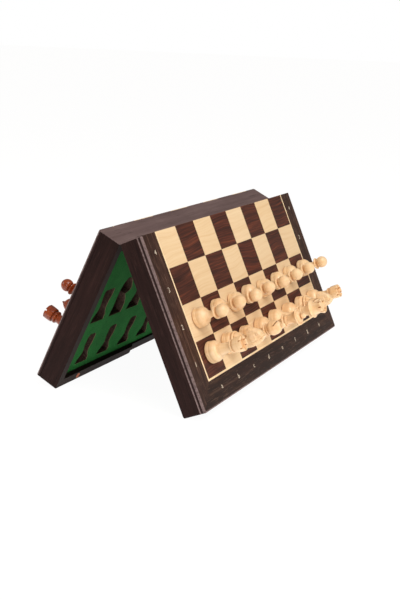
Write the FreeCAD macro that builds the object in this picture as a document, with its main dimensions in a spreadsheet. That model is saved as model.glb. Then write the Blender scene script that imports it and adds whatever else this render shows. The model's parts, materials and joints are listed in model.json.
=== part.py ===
"""Folding magnetic chess set: a two-half box that opens into a board, with its 32 pieces.

Each half is modelled flat in its own frame and then turned about the hinge line into the tent in
which the set stands. In the flat frame X runs from the fold outwards, Y along the hinge and Z from
the rim of the tray (0) up to the playing face. Units are millimetres.
"""
import FreeCAD, Part
import math
import os

import Sketcher
from FreeCAD import Placement, Rotation, Vector

FILES = 8
HALF_RANKS = 4
PARTS_FOLDER = "parts"

DIMENSIONS = {
    # playing field
    "square": 38.0,
    "border": 27.0,
    "stringing": 2.0,
    "veneer": 0.6,
    "glue_line": 0.04,
    # box
    "box_thickness": 26.0,
    "deck": 4.4,
    "wall": 10.0,
    "edge_round": 1.0,
    "corner_round": 2.5,
    "deck_round": 1.2,
    "seam_round": 0.5,
    "lipping": 1.5,
    "steel": 0.5,
    "scoop_length": 68.0,
    "scoop_depth": 3.0,
    "scoop_ramp": 5.0,
    # tray
    "tray_recess": 5.5,
    "tray_felt": 0.6,
    "tray_gap": 0.2,
    "pocket_depth": 14.5,
    "pawn_pocket_base": 160.5,
    "pawn_pocket_first": -150.2,
    "pawn_pocket_pitch": 41.0,
    "piece_pocket_base": 105.5,
    "rook_pocket_place": 141.7,
    "knight_pocket_place": 107.2,
    "bishop_pocket_place": 72.6,
    "royal_pocket_place": 27.0,
    "slot_clearance": 0.8,
    # hinge
    "tent_angle": 49.8,
    "hinge_gap": 0.15,
    "hinge_spacing": 220.0,
    "knuckle_radius": 1.7,
    "knuckle_clearance": 0.4,
    "knuckle_length": 9.8,
    "knuckle_pitch": 10.0,
    "pin_radius": 0.8,
    "pin_clearance": 0.05,
    "leaf_length": 29.8,
    "leaf_width": 8.0,
    "leaf_thickness": 0.9,
    "screw_radius": 0.9,
    "screw_head_radius": 1.7,
    "screw_length": 7.0,
    "screw_line": 5.0,
    "screw_pitch": 10.0,
    # closing magnets
    "catch_radius": 3.0,
    "catch_depth": 3.0,
    "catch_spread": 140.4,
    # chess pieces
    "piece_felt": 0.8,
    "piece_magnet_radius": 4.0,
    "piece_magnet_depth": 3.0,
    "piece_magnet_gap": 0.1,
    "piece_seat_gap": 0.05,
    "pawn_radius": 10.2,
    "pawn_height": 36.5,
    "rook_radius": 11.2,
    "rook_height": 39.5,
    "knight_radius": 11.2,
    "knight_height": 46.5,
    "knight_head": 11.5,
    "bishop_radius": 11.2,
    "bishop_height": 50.5,
    "queen_radius": 11.8,
    "queen_height": 58.5,
    "king_radius": 12.0,
    "king_height": 64.5,
}

# Turned outlines: (radius as a share of the base radius, height as a share of the piece's height,
# swell of the stretch that ends here as a share of its chord; positive swells outwards). BALL ends
# an outline with a ball centred on the axis. The plinth is common to all; its heights count from
# the top of the felt.
BALL = "ball"
PLINTH = [
    (0.95, 0.0, 0.0), (1.00, 0.035, 0.30), (1.00, 0.080, 0.0), (0.965, 0.090, 0.0), (0.965, 0.098, 0.0),
]
TURNED = {
    "pawn": [
        (0.70, 0.320, 0.16), (0.62, 0.330, 0.0), (0.36, 0.560, -0.16), (0.60, 0.595, 0.0),
        (0.62, 0.640, 0.35), (0.37, 0.655, 0.0), (0.37, 0.665, 0.0), (0.00, 1.000, BALL),
    ],
    "rook": [
        (0.72, 0.290, 0.16), (0.64, 0.300, 0.0), (0.44, 0.620, -0.04), (0.57, 0.650, 0.0),
        (0.58, 0.705, 0.20), (0.50, 0.715, 0.0), (0.50, 0.740, 0.0), (0.68, 0.770, 0.10),
        (0.70, 0.985, 0.02), (0.67, 1.000, 0.20), (0.48, 1.000, 0.0), (0.45, 0.900, 0.0),
        (0.00, 0.890, 0.0),
    ],
    "knight": [
        (0.84, 0.215, 0.14), (0.78, 0.225, 0.0), (0.88, 0.245, 0.10), (0.88, 0.290, 0.25),
        (0.00, 0.296, 0.0),
    ],
    "bishop": [
        (0.74, 0.235, 0.16), (0.66, 0.245, 0.0), (0.36, 0.510, -0.16), (0.60, 0.535, 0.0),
        (0.60, 0.570, 0.35), (0.42, 0.580, 0.0), (0.52, 0.605, 0.30), (0.42, 0.628, 0.30),
        (0.67, 0.735, 0.22), (0.17, 0.915, 0.16), (0.00, 1.000, BALL),
    ],
    "queen": [
        (0.74, 0.205, 0.16), (0.66, 0.215, 0.0), (0.34, 0.520, -0.14), (0.58, 0.545, 0.0),
        (0.58, 0.578, 0.35), (0.42, 0.588, 0.0), (0.50, 0.610, 0.30), (0.42, 0.632, 0.30),
        (0.76, 0.838, -0.12), (0.73, 0.862, 0.25), (0.58, 0.855, 0.0), (0.17, 0.900, 0.16),
        (0.00, 1.000, BALL),
    ],
    "king": [
        (0.76, 0.190, 0.16), (0.68, 0.200, 0.0), (0.38, 0.500, -0.14), (0.62, 0.525, 0.0),
        (0.62, 0.556, 0.35), (0.46, 0.566, 0.0), (0.54, 0.588, 0.30), (0.46, 0.610, 0.30),
        (0.82, 0.780, -0.12), (0.79, 0.802, 0.30), (0.58, 0.815, 0.0), (0.54, 0.830, 0.0),
        (0.66, 0.970, -0.06), (0.62, 1.000, 0.20), (0.50, 1.000, 0.0), (0.46, 0.976, 0.0),
        (0.00, 0.976, 0.0),
    ],
}
# Notches round a crown: (inner and outer ends and width as shares of the radius, floor as a share
# of the height, count).
NOTCHES = {"rook": (0.0, 0.9, 0.13, 0.93, 6), "king": (0.40, 0.8, 0.11, 0.945, 8)}
CROWN_CLEAR = 1.01
FELT_SHARE = 0.92
# The slanting cut in the bishop's mitre, open towards +X: (radius share, height share).
CLEFT = [(0.02, 0.715), (0.72, 0.900), (0.72, 0.932), (0.02, 0.747)]
# The knight's head from its side, nose towards +X, up its front and down its back: (forward as a
# share of the base radius, height as a share of the piece's height, swell).
KNIGHT_HEAD = [
    (0.72, 0.290, 0.0), (0.44, 0.410, 0.08), (0.14, 0.520, -0.08), (0.30, 0.575, -0.15),
    (0.66, 0.596, 0.0), (0.82, 0.650, 0.18), (0.76, 0.710, 0.18), (0.33, 0.885, 0.03),
    (-0.10, 0.930, 0.05), (-0.24, 1.000, 0.0), (-0.46, 0.935, 0.0), (-0.80, 0.760, 0.10),
    (-0.90, 0.480, 0.07), (-0.84, 0.290, 0.05),
]
# Half of each pocket's outline: (distance from the base end as a share of the piece's height, half
# width as a share of the base radius, swell).
POCKETS = {
    "pawn": [
        (0.00, 0.98, 0.0), (0.14, 0.96, 0.0), (0.40, 0.44, -0.06), (0.50, 0.46, 0.0),
        (0.64, 0.62, 0.0), (0.86, 0.60, 0.0), (1.00, 0.26, 0.18),
    ],
    "rook": [
        (0.00, 1.00, 0.0), (0.18, 0.96, 0.0), (0.40, 0.56, -0.06), (0.60, 0.56, 0.0),
        (0.76, 0.72, 0.0), (0.94, 0.74, 0.0), (1.00, 0.56, 0.10),
    ],
    "bishop": [
        (0.00, 1.00, 0.0), (0.16, 0.94, 0.0), (0.42, 0.46, -0.06), (0.54, 0.62, 0.0),
        (0.76, 0.70, 0.0), (0.92, 0.42, 0.08), (1.00, 0.24, 0.10),
    ],
    "queen": [
        (0.00, 1.00, 0.0), (0.14, 0.94, 0.0), (0.42, 0.44, -0.06), (0.54, 0.60, 0.0),
        (0.66, 0.52, 0.0), (0.82, 0.80, 0.0), (0.90, 0.66, 0.0), (1.00, 0.30, 0.12),
    ],
    "king": [
        (0.00, 1.00, 0.0), (0.14, 0.94, 0.0), (0.40, 0.50, -0.06), (0.52, 0.64, 0.0),
        (0.64, 0.56, 0.0), (0.78, 0.86, 0.0), (0.92, 0.72, 0.0), (1.00, 0.52, 0.10),
    ],
}
# The knight's pocket, all round from the base end, its muzzle towards -Y: (distance from the base
# end, way along Y, swell).
KNIGHT_POCKET = [
    (0.00, 1.00, 0.0), (0.26, 0.94, 0.0), (0.44, 0.96, 0.0), (0.78, 0.92, 0.04), (0.98, 0.46, 0.10),
    (1.00, 0.02, 0.15), (0.92, -0.46, 0.08), (0.72, -0.92, 0.0), (0.60, -0.86, 0.15),
    (0.54, -0.24, 0.0), (0.42, -0.62, 0.0), (0.26, -0.98, 0.0), (0.00, -1.00, 0.0),
]
# Where the pieces stand off their squares' centres: (outwards from the fold, along the files from
# a to h).
STAND_OFFSETS = {
    "white_pawn_a": (-1.7, -1.1), "white_pawn_b": (-1.9, 0.1), "white_pawn_c": (-0.4, 1.2),
    "white_pawn_d": (-1.7, -2.4), "white_pawn_e": (-0.3, -1.4), "white_pawn_f": (-1.0, -0.9),
    "white_pawn_g": (-1.6, -0.9), "white_pawn_h": (-1.4, 2.4), "white_rook_a": (-3.2, -0.3),
    "white_rook_h": (0.0, 0.8), "white_knight_b": (-3.0, -1.4), "white_bishop_c": (-0.5, 0.0),
    "black_pawn_a": (0.0, -2.6), "black_pawn_d": (-0.8, 1.1), "black_pawn_f": (0.9, -0.7),
    "black_rook_a": (2.0, -2.0), "black_knight_b": (1.0, -2.0), "black_bishop_c": (-0.6, 0.9),
    "black_knight_g": (0.7, -0.6),
}
BACK_RANK = ["rook", "knight", "bishop", "queen", "king", "bishop", "knight", "rook"]
FILE_NAMES = "abcdefgh"
# How far each knight and bishop is turned from looking straight across the board, in degrees.
TURNS = {"knight": {"b": 8.0, "g": -5.0}, "bishop": {"c": 0.0, "f": -16.0}}


class Length:
    """A length with the spreadsheet expression that gives it, so that both stay in step."""

    def __init__(self, value, text=None):
        self.value = float(value)
        self.text = text if text else f"{float(value)}"

    def __add__(self, other):
        other = as_length(other)
        return Length(self.value + other.value, f"({self.text} + {other.text})")

    def __sub__(self, other):
        other = as_length(other)
        return Length(self.value - other.value, f"({self.text} - {other.text})")

    def __mul__(self, factor):
        return Length(self.value * factor, f"({self.text} * {factor})")

    def __neg__(self):
        return self * -1.0


def as_length(item):
    return item if isinstance(item, Length) else Length(item)


doc = FreeCAD.newDocument("ChessSet")
sheet = doc.addObject("Spreadsheet::Sheet", "dims")
for row, (alias, number) in enumerate(DIMENSIONS.items(), start=1):
    sheet.set(f"A{row}", alias)
    sheet.set(f"B{row}", str(number))
    sheet.setAlias(f"B{row}", alias)
doc.recompute()


def dim(alias):
    return Length(float(sheet.get(alias)), f"dims.{alias}")


SQUARE = dim("square")
FIELD_HALF = SQUARE * (FILES / 2)
FIELD_DEPTH = SQUARE * HALF_RANKS
HALF_LENGTH = FIELD_HALF + dim("border")
DEPTH = FIELD_DEPTH + dim("border")
TOP = dim("box_thickness")
WALL = dim("wall")
WALL_TOP = TOP - dim("deck")
VENEER = dim("veneer")
VENEER_BASE = TOP - VENEER
INNER_FOLD = WALL + VENEER
INNER_DEPTH = DEPTH - WALL
INNER_HALF = HALF_LENGTH - WALL
BLOCK_BOTTOM = dim("tray_recess") + dim("tray_felt")
HINGE_PLACES = (-0.5, 0.5)
KNUCKLE_PLACES = (-1, 0, 1)
# How far a cutter reaches past the faces it opens.
BEYOND = 1.0


# ---------------------------------------------------------------- construction helpers
def bind(target, prop, length):
    target.setExpression(prop, as_length(length).text)


def box(name, low, high):
    """A box between two corners whose coordinates are lengths."""
    made = doc.addObject("Part::Box", name)
    for prop, start, end in zip(("Length", "Width", "Height"), low, high):
        bind(made, prop, as_length(end) - start)
    for letter, start in zip("xyz", low):
        bind(made, f"Placement.Base.{letter}", start)
    return made


def cylinder(name, radius, height, base, turned=None):
    """A cylinder standing on base; turned is the rotation of its axis away from +Z."""
    made = doc.addObject("Part::Cylinder", name)
    bind(made, "Radius", radius)
    bind(made, "Height", height)
    if turned:
        made.Placement = Placement(Vector(), turned)
    for letter, start in zip("xyz", base):
        bind(made, f"Placement.Base.{letter}", start)
    return made


def joined(name, kind, shapes):
    """A Part::MultiFuse, Part::MultiCommon or Part::Compound of several objects."""
    made = doc.addObject(kind, name)
    if kind == "Part::Compound":
        made.Links = shapes
    else:
        made.Shapes = shapes
    return made


def cut(name, base, tool):
    made = doc.addObject("Part::Cut", name)
    made.Base = base
    made.Tool = tool
    return made


def rounded(name, base, picks):
    """Fillets the edges that each (test, alias) pair of picks selects with the radius in the alias."""
    doc.recompute()
    edges = []
    for number, edge in enumerate(base.Shape.Edges, start=1):
        for test, alias in picks:
            if test(edge.BoundBox):
                radius = dim(alias).value
                edges.append((number, radius, radius))
                break
    made = doc.addObject("Part::Fillet", name)
    made.Base = base
    made.Edges = edges
    return made


def near(first, second):
    return abs(first - as_length(second).value) < 0.001


def arc_through(start, end, swell):
    """The arc from start to end whose sagitta is swell times its chord, to the right of the path
    when swell is positive."""
    chord = end - start
    side = Vector(chord.y, -chord.x, 0)
    return Part.Arc(start, start + chord * 0.5 + side * swell, end)


def trace(sketch, outline):
    """Draws a closed outline of (x, y, swell) and ties each corner and arc to the spreadsheet."""
    corners = [Vector(as_length(x).value, as_length(y).value, 0) for x, y, swell in outline]
    count = len(outline)
    for number, (x, y, swell) in enumerate(outline):
        start = corners[number - 1]
        end = corners[number]
        piece = arc_through(start, end, swell) if swell else Part.LineSegment(start, end)
        edge = sketch.addGeometry(piece, False)
        ends = (sketch.getPoint(edge, 1), sketch.getPoint(edge, 2))
        point = 1 if ends[0].distanceToPoint(end) < ends[1].distanceToPoint(end) else 2
        tie(sketch, edge, point, "DistanceX", "V", x)
        tie(sketch, edge, point, "DistanceY", "H", y)
        if swell:
            chord = (end - start).Length
            radius = chord * (0.25 + swell * swell) / (2 * abs(swell))
            sketch.addConstraint(constraint("Radius", edge, radius))
    first_edge = sketch.GeometryCount - count
    for number in range(count):
        edge = first_edge + number
        following = first_edge + (number + 1) % count
        sketch.addConstraint(meeting(sketch, edge, following, corners[number]))


def constraint(*words):
    return Sketcher.Constraint(*words)


def tie(sketch, edge, point, kind, axis, length):
    """Holds one coordinate of a point at a length, or on the axis when the length is zero."""
    length = as_length(length)
    if abs(length.value) < 1e-9:
        sketch.addConstraint(constraint("PointOnObject", edge, point, -2 if axis == "V" else -1))
        return
    number = sketch.addConstraint(constraint(kind, -1, 1, edge, point, length.value))
    sketch.setExpression(f"Constraints[{number}]", length.text)


def meeting(sketch, first, second, corner):
    points = []
    for edge in (first, second):
        ends = (sketch.getPoint(edge, 1), sketch.getPoint(edge, 2))
        points.append(1 if ends[0].distanceToPoint(corner) < ends[1].distanceToPoint(corner) else 2)
    return constraint("Coincident", first, points[0], second, points[1])


def new_body(name):
    return doc.addObject("PartDesign::Body", name)


def sketch_on(body, name, role, outlines, offset=None):
    """A sketch on one of the body's own origin planes, raised by offset along the plane's normal."""
    plane = [item for item in body.Origin.OriginFeatures if item.Role == role][0]
    sketch = body.newObject("Sketcher::SketchObject", name)
    sketch.AttachmentSupport = [(plane, "")]
    sketch.MapMode = "FlatFace"
    for outline in outlines:
        trace(sketch, outline)
    if offset:
        bind(sketch, "AttachmentOffset.Base.z", offset)
    return sketch


def flat_sketch(name, outline):
    sketch = doc.addObject("Sketcher::SketchObject", name)
    trace(sketch, outline)
    return sketch


def prism(name, outline, bottom, height):
    """An outline in the XY plane drawn up from bottom by height."""
    sketch = flat_sketch(f"{name}_outline", outline)
    bind(sketch, "Placement.Base.z", bottom)
    made = doc.addObject("Part::Extrusion", name)
    made.Base = sketch
    made.DirMode = "Normal"
    made.Solid = True
    bind(made, "LengthFwd", height)
    return made


def corners_only(*points):
    return [(x, y, 0.0) for x, y in points]


# ---------------------------------------------------------------- the box's frame
def frame_envelope():
    """The outer shape of the four walls, rounded at the free corners, the rim and the deck's seam."""
    blank = box("frame_blank", (VENEER, -HALF_LENGTH, 0), (DEPTH, HALF_LENGTH, WALL_TOP))

    def free_corner(bounds):
        return bounds.ZLength > 1 and near(bounds.XMin, DEPTH)

    def outside(bounds):
        return near(bounds.XMin, DEPTH) or bounds.XLength > 1

    def rim_edge(bounds):
        return near(bounds.ZMax, 0) and outside(bounds)

    def seam_edge(bounds):
        return near(bounds.ZMin, WALL_TOP) and outside(bounds)

    picks = [(free_corner, "corner_round"), (rim_edge, "edge_round"), (seam_edge, "seam_round")]
    return rounded("frame_rounded", blank, picks)


def mitred_wall(name, outer_from, outer_to, inner_to, inner_from, envelope):
    """One wall: the mitred strip between its outer and inner lines, shaped by the envelope."""
    strip = prism(f"{name}_strip", corners_only(outer_from, outer_to, inner_to, inner_from), 0, WALL_TOP)
    return joined(f"{name}_shaped", "Part::MultiCommon", [strip, envelope])


def hinge_mortises():
    """Room in the fold wall for the leaves and the knuckles of both hinges."""
    tools = []
    reach = dim("knuckle_radius") + dim("knuckle_clearance")
    for number, place in enumerate(HINGE_PLACES):
        centre = dim("hinge_spacing") * place
        half = dim("leaf_length") * 0.5 + dim("pin_clearance")
        leaf_end = dim("leaf_width") - dim("hinge_gap")
        low = (0, centre - half, -BEYOND)
        tools.append(box(f"leaf_mortise_{number}", low, (leaf_end, centre + half, leaf_bed())))
        turned = Rotation(Vector(1, 0, 0), -90)
        base = (-dim("hinge_gap"), centre - half, -dim("hinge_gap"))
        tools.append(cylinder(f"knuckle_mortise_{number}", reach, half * 2, base, turned))
        tools.extend(screw_shanks(f"pilot_{number}", centre))
    return joined("hinge_mortises", "Part::MultiFuse", tools)


def leaf_bed():
    """Height of the leaf's inner face over the rim: half the gap between closed rims is free."""
    return dim("leaf_thickness") - dim("hinge_gap") * 0.5


def screw_rows():
    return [dim("screw_pitch") * step for step in (-1, 0, 1)]


def screw_shanks(name, centre):
    shanks = []
    for number, along in enumerate(screw_rows()):
        base = (dim("screw_line"), centre + along, 0)
        shanks.append(cylinder(f"{name}_{number}", dim("screw_radius"), dim("screw_length"), base))
    return shanks


def catch_bores(name):
    """The closing magnets in the outer wall's rim, which are also the shape of their bores."""
    bores = []
    for number, side in enumerate((-1, 1)):
        base = (DEPTH - WALL * 0.5, dim("catch_spread") * side, 0)
        bores.append(cylinder(f"{name}_{number}", dim("catch_radius"), dim("catch_depth"), base))
    return bores


def scoop_tool():
    """The shallow finger hold in the middle of the outer wall's rim, seen from outside."""
    half = dim("scoop_length") * 0.5
    shallow = half - dim("scoop_ramp")
    body = new_body("scoop_cutter")
    deep = dim("scoop_depth")
    outline = corners_only((-half, -BEYOND), (-half, 0), (-shallow, deep), (shallow, deep), (half, 0),
                           (half, -BEYOND))
    sketch = sketch_on(body, "scoop_outline", "YZ_Plane", [outline], DEPTH - WALL - BEYOND)
    pad = body.newObject("PartDesign::Pad", "scoop_pad")
    pad.Profile = sketch
    bind(pad, "Length", WALL + BEYOND * 2)
    return body


def frame_walls():
    """Fold wall, two end walls and the outer wall, mitred at the corners."""
    envelope = frame_envelope()
    corners = {
        "fold_low": ((VENEER, -HALF_LENGTH), (INNER_FOLD, -INNER_HALF)),
        "fold_high": ((VENEER, HALF_LENGTH), (INNER_FOLD, INNER_HALF)),
        "outer_low": ((DEPTH, -HALF_LENGTH), (INNER_DEPTH, -INNER_HALF)),
        "outer_high": ((DEPTH, HALF_LENGTH), (INNER_DEPTH, INNER_HALF)),
    }

    def wall(name, first, second):
        return mitred_wall(name, corners[first][0], corners[second][0], corners[second][1],
                           corners[first][1], envelope)

    fold = cut("fold_wall", wall("fold", "fold_low", "fold_high"), hinge_mortises())
    low_end = wall("low_end", "fold_low", "outer_low")
    high_end = wall("high_end", "fold_high", "outer_high")
    holds = [scoop_tool(), *catch_bores("catch_bore")]
    holds = joined("outer_wall_cuts", "Part::MultiFuse", holds)
    outer = cut("outer_wall", wall("outer", "outer_low", "outer_high"), holds)
    return [fold, low_end, high_end, outer]


def fold_edging():
    """The strip that covers the fold wall and the deck's edge, notched for the hinge knuckles."""
    strip = box("fold_strip", (0, -HALF_LENGTH, 0), (VENEER, HALF_LENGTH, VENEER_BASE))
    reach = dim("knuckle_radius") + dim("knuckle_clearance")
    notches = []
    for number, place in enumerate(HINGE_PLACES):
        centre = dim("hinge_spacing") * place
        half = dim("leaf_length") * 0.5 + dim("pin_clearance")
        low = (-BEYOND, centre - half, -BEYOND)
        notches.append(box(f"edging_notch_{number}", low, (BEYOND, centre + half, reach)))
    return [cut("fold_edging", strip, joined("edging_notches", "Part::MultiFuse", notches))]


# ---------------------------------------------------------------- the deck and its veneers
def deck_panel():
    """The panel that carries the board: rounded edges, a bed for the veneers and one for the steel."""
    blank = box("deck_blank", (VENEER, -HALF_LENGTH, WALL_TOP), (DEPTH, HALF_LENGTH, TOP))

    def free_corner(bounds):
        return bounds.ZLength > 1 and near(bounds.XMin, DEPTH)

    def long_edge(bounds):
        outer = near(bounds.XMin, DEPTH)
        side = bounds.XLength > 1
        return bounds.ZLength < 0.001 and (outer or side)

    panel = rounded("deck_rounded", blank, [(free_corner, "corner_round"), (long_edge, "deck_round")])
    edge = dim("lipping")
    veneer_bed = box("veneer_bed", (-BEYOND, edge - HALF_LENGTH, VENEER_BASE),
                     (DEPTH - edge, HALF_LENGTH - edge, TOP + BEYOND))
    steel_bed = box("steel_bed", (WALL, -FIELD_HALF, VENEER_BASE - dim("steel")),
                    (FIELD_DEPTH, FIELD_HALF, TOP))
    return [cut("deck_panel", panel, joined("deck_beds", "Part::MultiFuse", [veneer_bed, steel_bed]))]


def steel_sheet():
    low = (WALL, -FIELD_HALF, VENEER_BASE - dim("steel"))
    return [box("steel_sheet", low, (FIELD_DEPTH, FIELD_HALF, VENEER_BASE))]


def squares(name, parity):
    """The sixteen squares of one colour in a half."""
    inset = dim("glue_line") * 0.5
    made = []
    for along in range(FILES):
        for out in range(HALF_RANKS):
            if (along + out) % 2 == parity:
                low = (SQUARE * out + inset, SQUARE * along - FIELD_HALF + inset, VENEER_BASE)
                high = (SQUARE * (out + 1) - inset, SQUARE * (along + 1) - FIELD_HALF - inset, TOP)
                made.append(box(f"{name}_{along}_{out}", low, high))
    return made


def stringing():
    """The thin light line round three sides of the playing field."""
    width = dim("stringing")
    inset = dim("glue_line")
    far = FIELD_HALF + width
    made = []
    for side, name in ((-1, "low"), (1, "high")):
        edges = sorted((FIELD_HALF * side, far * side), key=lambda length: length.value)
        low = (0, edges[0] + inset * 0.5, VENEER_BASE)
        high = (FIELD_DEPTH - inset, edges[1] - inset * 0.5, TOP)
        made.append(box(f"stringing_{name}", low, high))
    low = (FIELD_DEPTH, -far, VENEER_BASE)
    made.append(box("stringing_outer", low, (FIELD_DEPTH + width - inset, far, TOP)))
    return made


def border_veneers():
    """Two side strips and the outer strip, mitred where they meet."""
    inner = FIELD_HALF + dim("stringing")
    inner_x = FIELD_DEPTH + dim("stringing")
    outer = HALF_LENGTH - dim("lipping")
    outer_x = DEPTH - dim("lipping")
    joint = dim("glue_line")
    made = []
    for side, name in ((-1, "low"), (1, "high")):
        strip = corners_only((0, inner * side), (inner_x - joint, inner * side),
                             (outer_x - joint, outer * side), (0, outer * side))
        made.append(prism(f"border_{name}", strip, VENEER_BASE, VENEER))
    strip = corners_only((inner_x, -inner), (inner_x, inner), (outer_x, outer), (outer_x, -outer))
    made.append(prism("border_outer", strip, VENEER_BASE, VENEER))
    return made


# ---------------------------------------------------------------- the tray
def pocket_outline(kind, centre_y):
    """The whole outline of one pocket: its base end outwards, its head end towards the fold."""
    clearance = dim("slot_clearance")
    base_line = dim("pawn_pocket_base") if kind == "pawn" else dim("piece_pocket_base")
    radius = dim(f"{kind}_radius")
    length = dim(f"{kind}_height") + clearance * 2
    if kind == "knight":
        shares = KNIGHT_POCKET
    else:
        half = POCKETS[kind]
        back_swells = [0.0] + [swell for share, width, swell in half[:0:-1]]
        shares = list(half)
        for (share, width, swell), back in zip(half[::-1], back_swells):
            shares.append((share, -width, back))
    outline = []
    for share, width, swell in shares:
        side = clearance if width > 0 else -clearance
        outline.append((base_line + clearance - length * share, centre_y + radius * width + side, swell))
    return outline


def pocket_places():
    """Every large piece's kind and place along the hinge: rooks outermost, king and queen inside."""
    places = []
    for kind in ("rook", "knight", "bishop"):
        place = dim(f"{kind}_pocket_place")
        places.extend([(kind, -place), (kind, place)])
    royal = dim("royal_pocket_place")
    return places + [("queen", -royal), ("king", royal)]


def slotted_sheet(name, bottom, thickness, depth):
    """A sheet that fills the tray, with a piece-shaped pocket for each chess piece."""
    gap = dim("tray_gap")
    body = new_body(name)
    low_x, high_x = INNER_FOLD + gap, INNER_DEPTH - gap
    half = INNER_HALF - gap
    rectangle = corners_only((low_x, -half), (high_x, -half), (high_x, half), (low_x, half))
    pad = body.newObject("PartDesign::Pad", f"{name}_blank")
    pad.Profile = sketch_on(body, f"{name}_rectangle", "XY_Plane", [rectangle], bottom)
    bind(pad, "Length", thickness)
    first = dim("pawn_pocket_first")
    pocket = pocket_into(body, f"{name}_pawn", pocket_outline("pawn", first), bottom, depth)
    row = body.newObject("PartDesign::LinearPattern", f"{name}_pawn_row")
    row.Originals = [pocket]
    row.Direction = (pocket.Profile[0], ["V_Axis"])
    row.Occurrences = FILES
    bind(row, "Length", dim("pawn_pocket_pitch") * (FILES - 1))
    body.Tip = row
    for number, (kind, place) in enumerate(pocket_places()):
        pocket_into(body, f"{name}_{kind}_{number}", pocket_outline(kind, place), bottom, depth)
    return [body]


def pocket_into(body, name, outline, bottom, depth):
    sketch = sketch_on(body, f"{name}_outline", "XY_Plane", [outline], bottom)
    pocket = body.newObject("PartDesign::Pocket", f"{name}_pocket")
    pocket.Profile = sketch
    pocket.Reversed = True
    bind(pocket, "Length", depth)
    return pocket


# ---------------------------------------------------------------- hinges, screws and magnets
def hinge_leaves(name, knuckles):
    """Two leaves, each with the knuckles at the given places along the pin."""
    made = []
    turned = Rotation(Vector(1, 0, 0), -90)
    axis = -dim("hinge_gap")
    for number, place in enumerate(HINGE_PLACES):
        centre = dim("hinge_spacing") * place
        half = dim("leaf_length") * 0.5
        plate = box(f"{name}_plate_{number}", (0, centre - half, -dim("hinge_gap") * 0.5),
                    (dim("leaf_width") - dim("hinge_gap"), centre + half, leaf_bed()))
        room = dim("knuckle_radius") + dim("knuckle_clearance") * 0.5
        clear = cylinder(f"{name}_clear_{number}", room, half * 2, (axis, centre - half, axis), turned)
        solids = [cut(f"{name}_trimmed_{number}", plate, clear)]
        bores = []
        for step in knuckles:
            start = centre + dim("knuckle_pitch") * step - dim("knuckle_length") * 0.5
            label = f"{name}_{number}_{step + 1}"
            reach = dim("knuckle_radius")
            base = (axis, start, axis)
            barrel = cylinder(f"knuckle_{label}", reach, dim("knuckle_length"), base, turned)
            web = box(f"web_{label}", (0, start, -dim("hinge_gap") * 0.5),
                      (reach + dim("knuckle_clearance"), start + dim("knuckle_length"), leaf_bed()))
            solids.extend([barrel, web])
            bore_radius = dim("pin_radius") + dim("pin_clearance")
            bores.append(cylinder(f"bore_{label}", bore_radius, dim("knuckle_length"), base, turned))
        bores.extend(countersinks(f"{name}_hole_{number}", centre))
        solid = joined(f"{name}_joined_{number}", "Part::MultiFuse", solids)
        holes = joined(f"{name}_holes_{number}", "Part::MultiFuse", bores)
        made.append(cut(f"{name}_leaf_{number}", solid, holes))
    return made


def countersinks(name, centre):
    """The screw heads' cones with their shanks, used both as screws and as the holes for them."""
    made = []
    for number, along in enumerate(screw_rows()):
        cone = doc.addObject("Part::Cone", f"{name}_cone_{number}")
        bind(cone, "Radius1", dim("screw_head_radius"))
        bind(cone, "Radius2", dim("screw_radius"))
        bind(cone, "Height", leaf_bed() + dim("hinge_gap") * 0.5)
        for letter, start in zip("xyz", (dim("screw_line"), centre + along, -dim("hinge_gap") * 0.5)):
            bind(cone, f"Placement.Base.{letter}", start)
        base = (dim("screw_line"), centre + along, 0)
        shank = cylinder(f"{name}_shank_{number}", dim("screw_radius"), dim("screw_length"), base)
        made.append(joined(f"{name}_{number}", "Part::MultiFuse", [cone, shank]))
    return made


def hinge_screws():
    made = []
    for number, place in enumerate(HINGE_PLACES):
        made.extend(countersinks(f"screw_{number}", dim("hinge_spacing") * place))
    return made


def hinge_pins():
    made = []
    axis = -dim("hinge_gap")
    for number, place in enumerate(HINGE_PLACES):
        base = (axis, dim("hinge_spacing") * place - dim("leaf_length") * 0.5, axis)
        turned = Rotation(Vector(1, 0, 0), -90)
        made.append(cylinder(f"pin_{number}", dim("pin_radius"), dim("leaf_length"), base, turned))
    return made


# ---------------------------------------------------------------- the chess pieces
def turned_outline(kind):
    """The radial section of the wood: magnet bore, plinth, then the kind's own outline."""
    radius = dim(f"{kind}_radius")
    height = dim(f"{kind}_height")
    felt = dim("piece_felt")
    bore = dim("piece_magnet_radius") + dim("piece_magnet_gap")
    bore_top = felt + dim("piece_magnet_depth") + dim("piece_magnet_gap")
    outline = [(0, bore_top, 0.0), (bore, bore_top, 0.0), (bore, felt, 0.0)]
    for share, rise, swell in PLINTH:
        outline.append((radius * share, felt + height * rise, swell))
    for share, rise, swell in TURNED[kind]:
        corner = (radius * share, height * rise)
        if swell == BALL:
            swell = ball_swell(outline[-1][0].value, corner[1].value - outline[-1][1].value)
        outline.append((*corner, swell))
    return outline


def ball_swell(neck, rise):
    """The swell of an arc about a centre on the axis, from radius neck up to the axis, rise higher."""
    chord = math.hypot(neck, rise)
    radius = chord * chord / (2 * rise)
    return (radius - math.sqrt(radius * radius - chord * chord / 4)) / chord


def piece_wood(kind):
    body = new_body(f"{kind}_wood")
    revolution = body.newObject("PartDesign::Revolution", f"{kind}_turning")
    profile = sketch_on(body, f"{kind}_section", "XZ_Plane", [turned_outline(kind)])
    revolution.Profile = profile
    revolution.ReferenceAxis = (profile, ["V_Axis"])
    revolution.Angle = 360
    if kind == "knight":
        carve_knight(body)
    if kind in NOTCHES:
        notch_crown(body, kind)
    if kind == "bishop":
        cleft(body)
    return body


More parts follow.
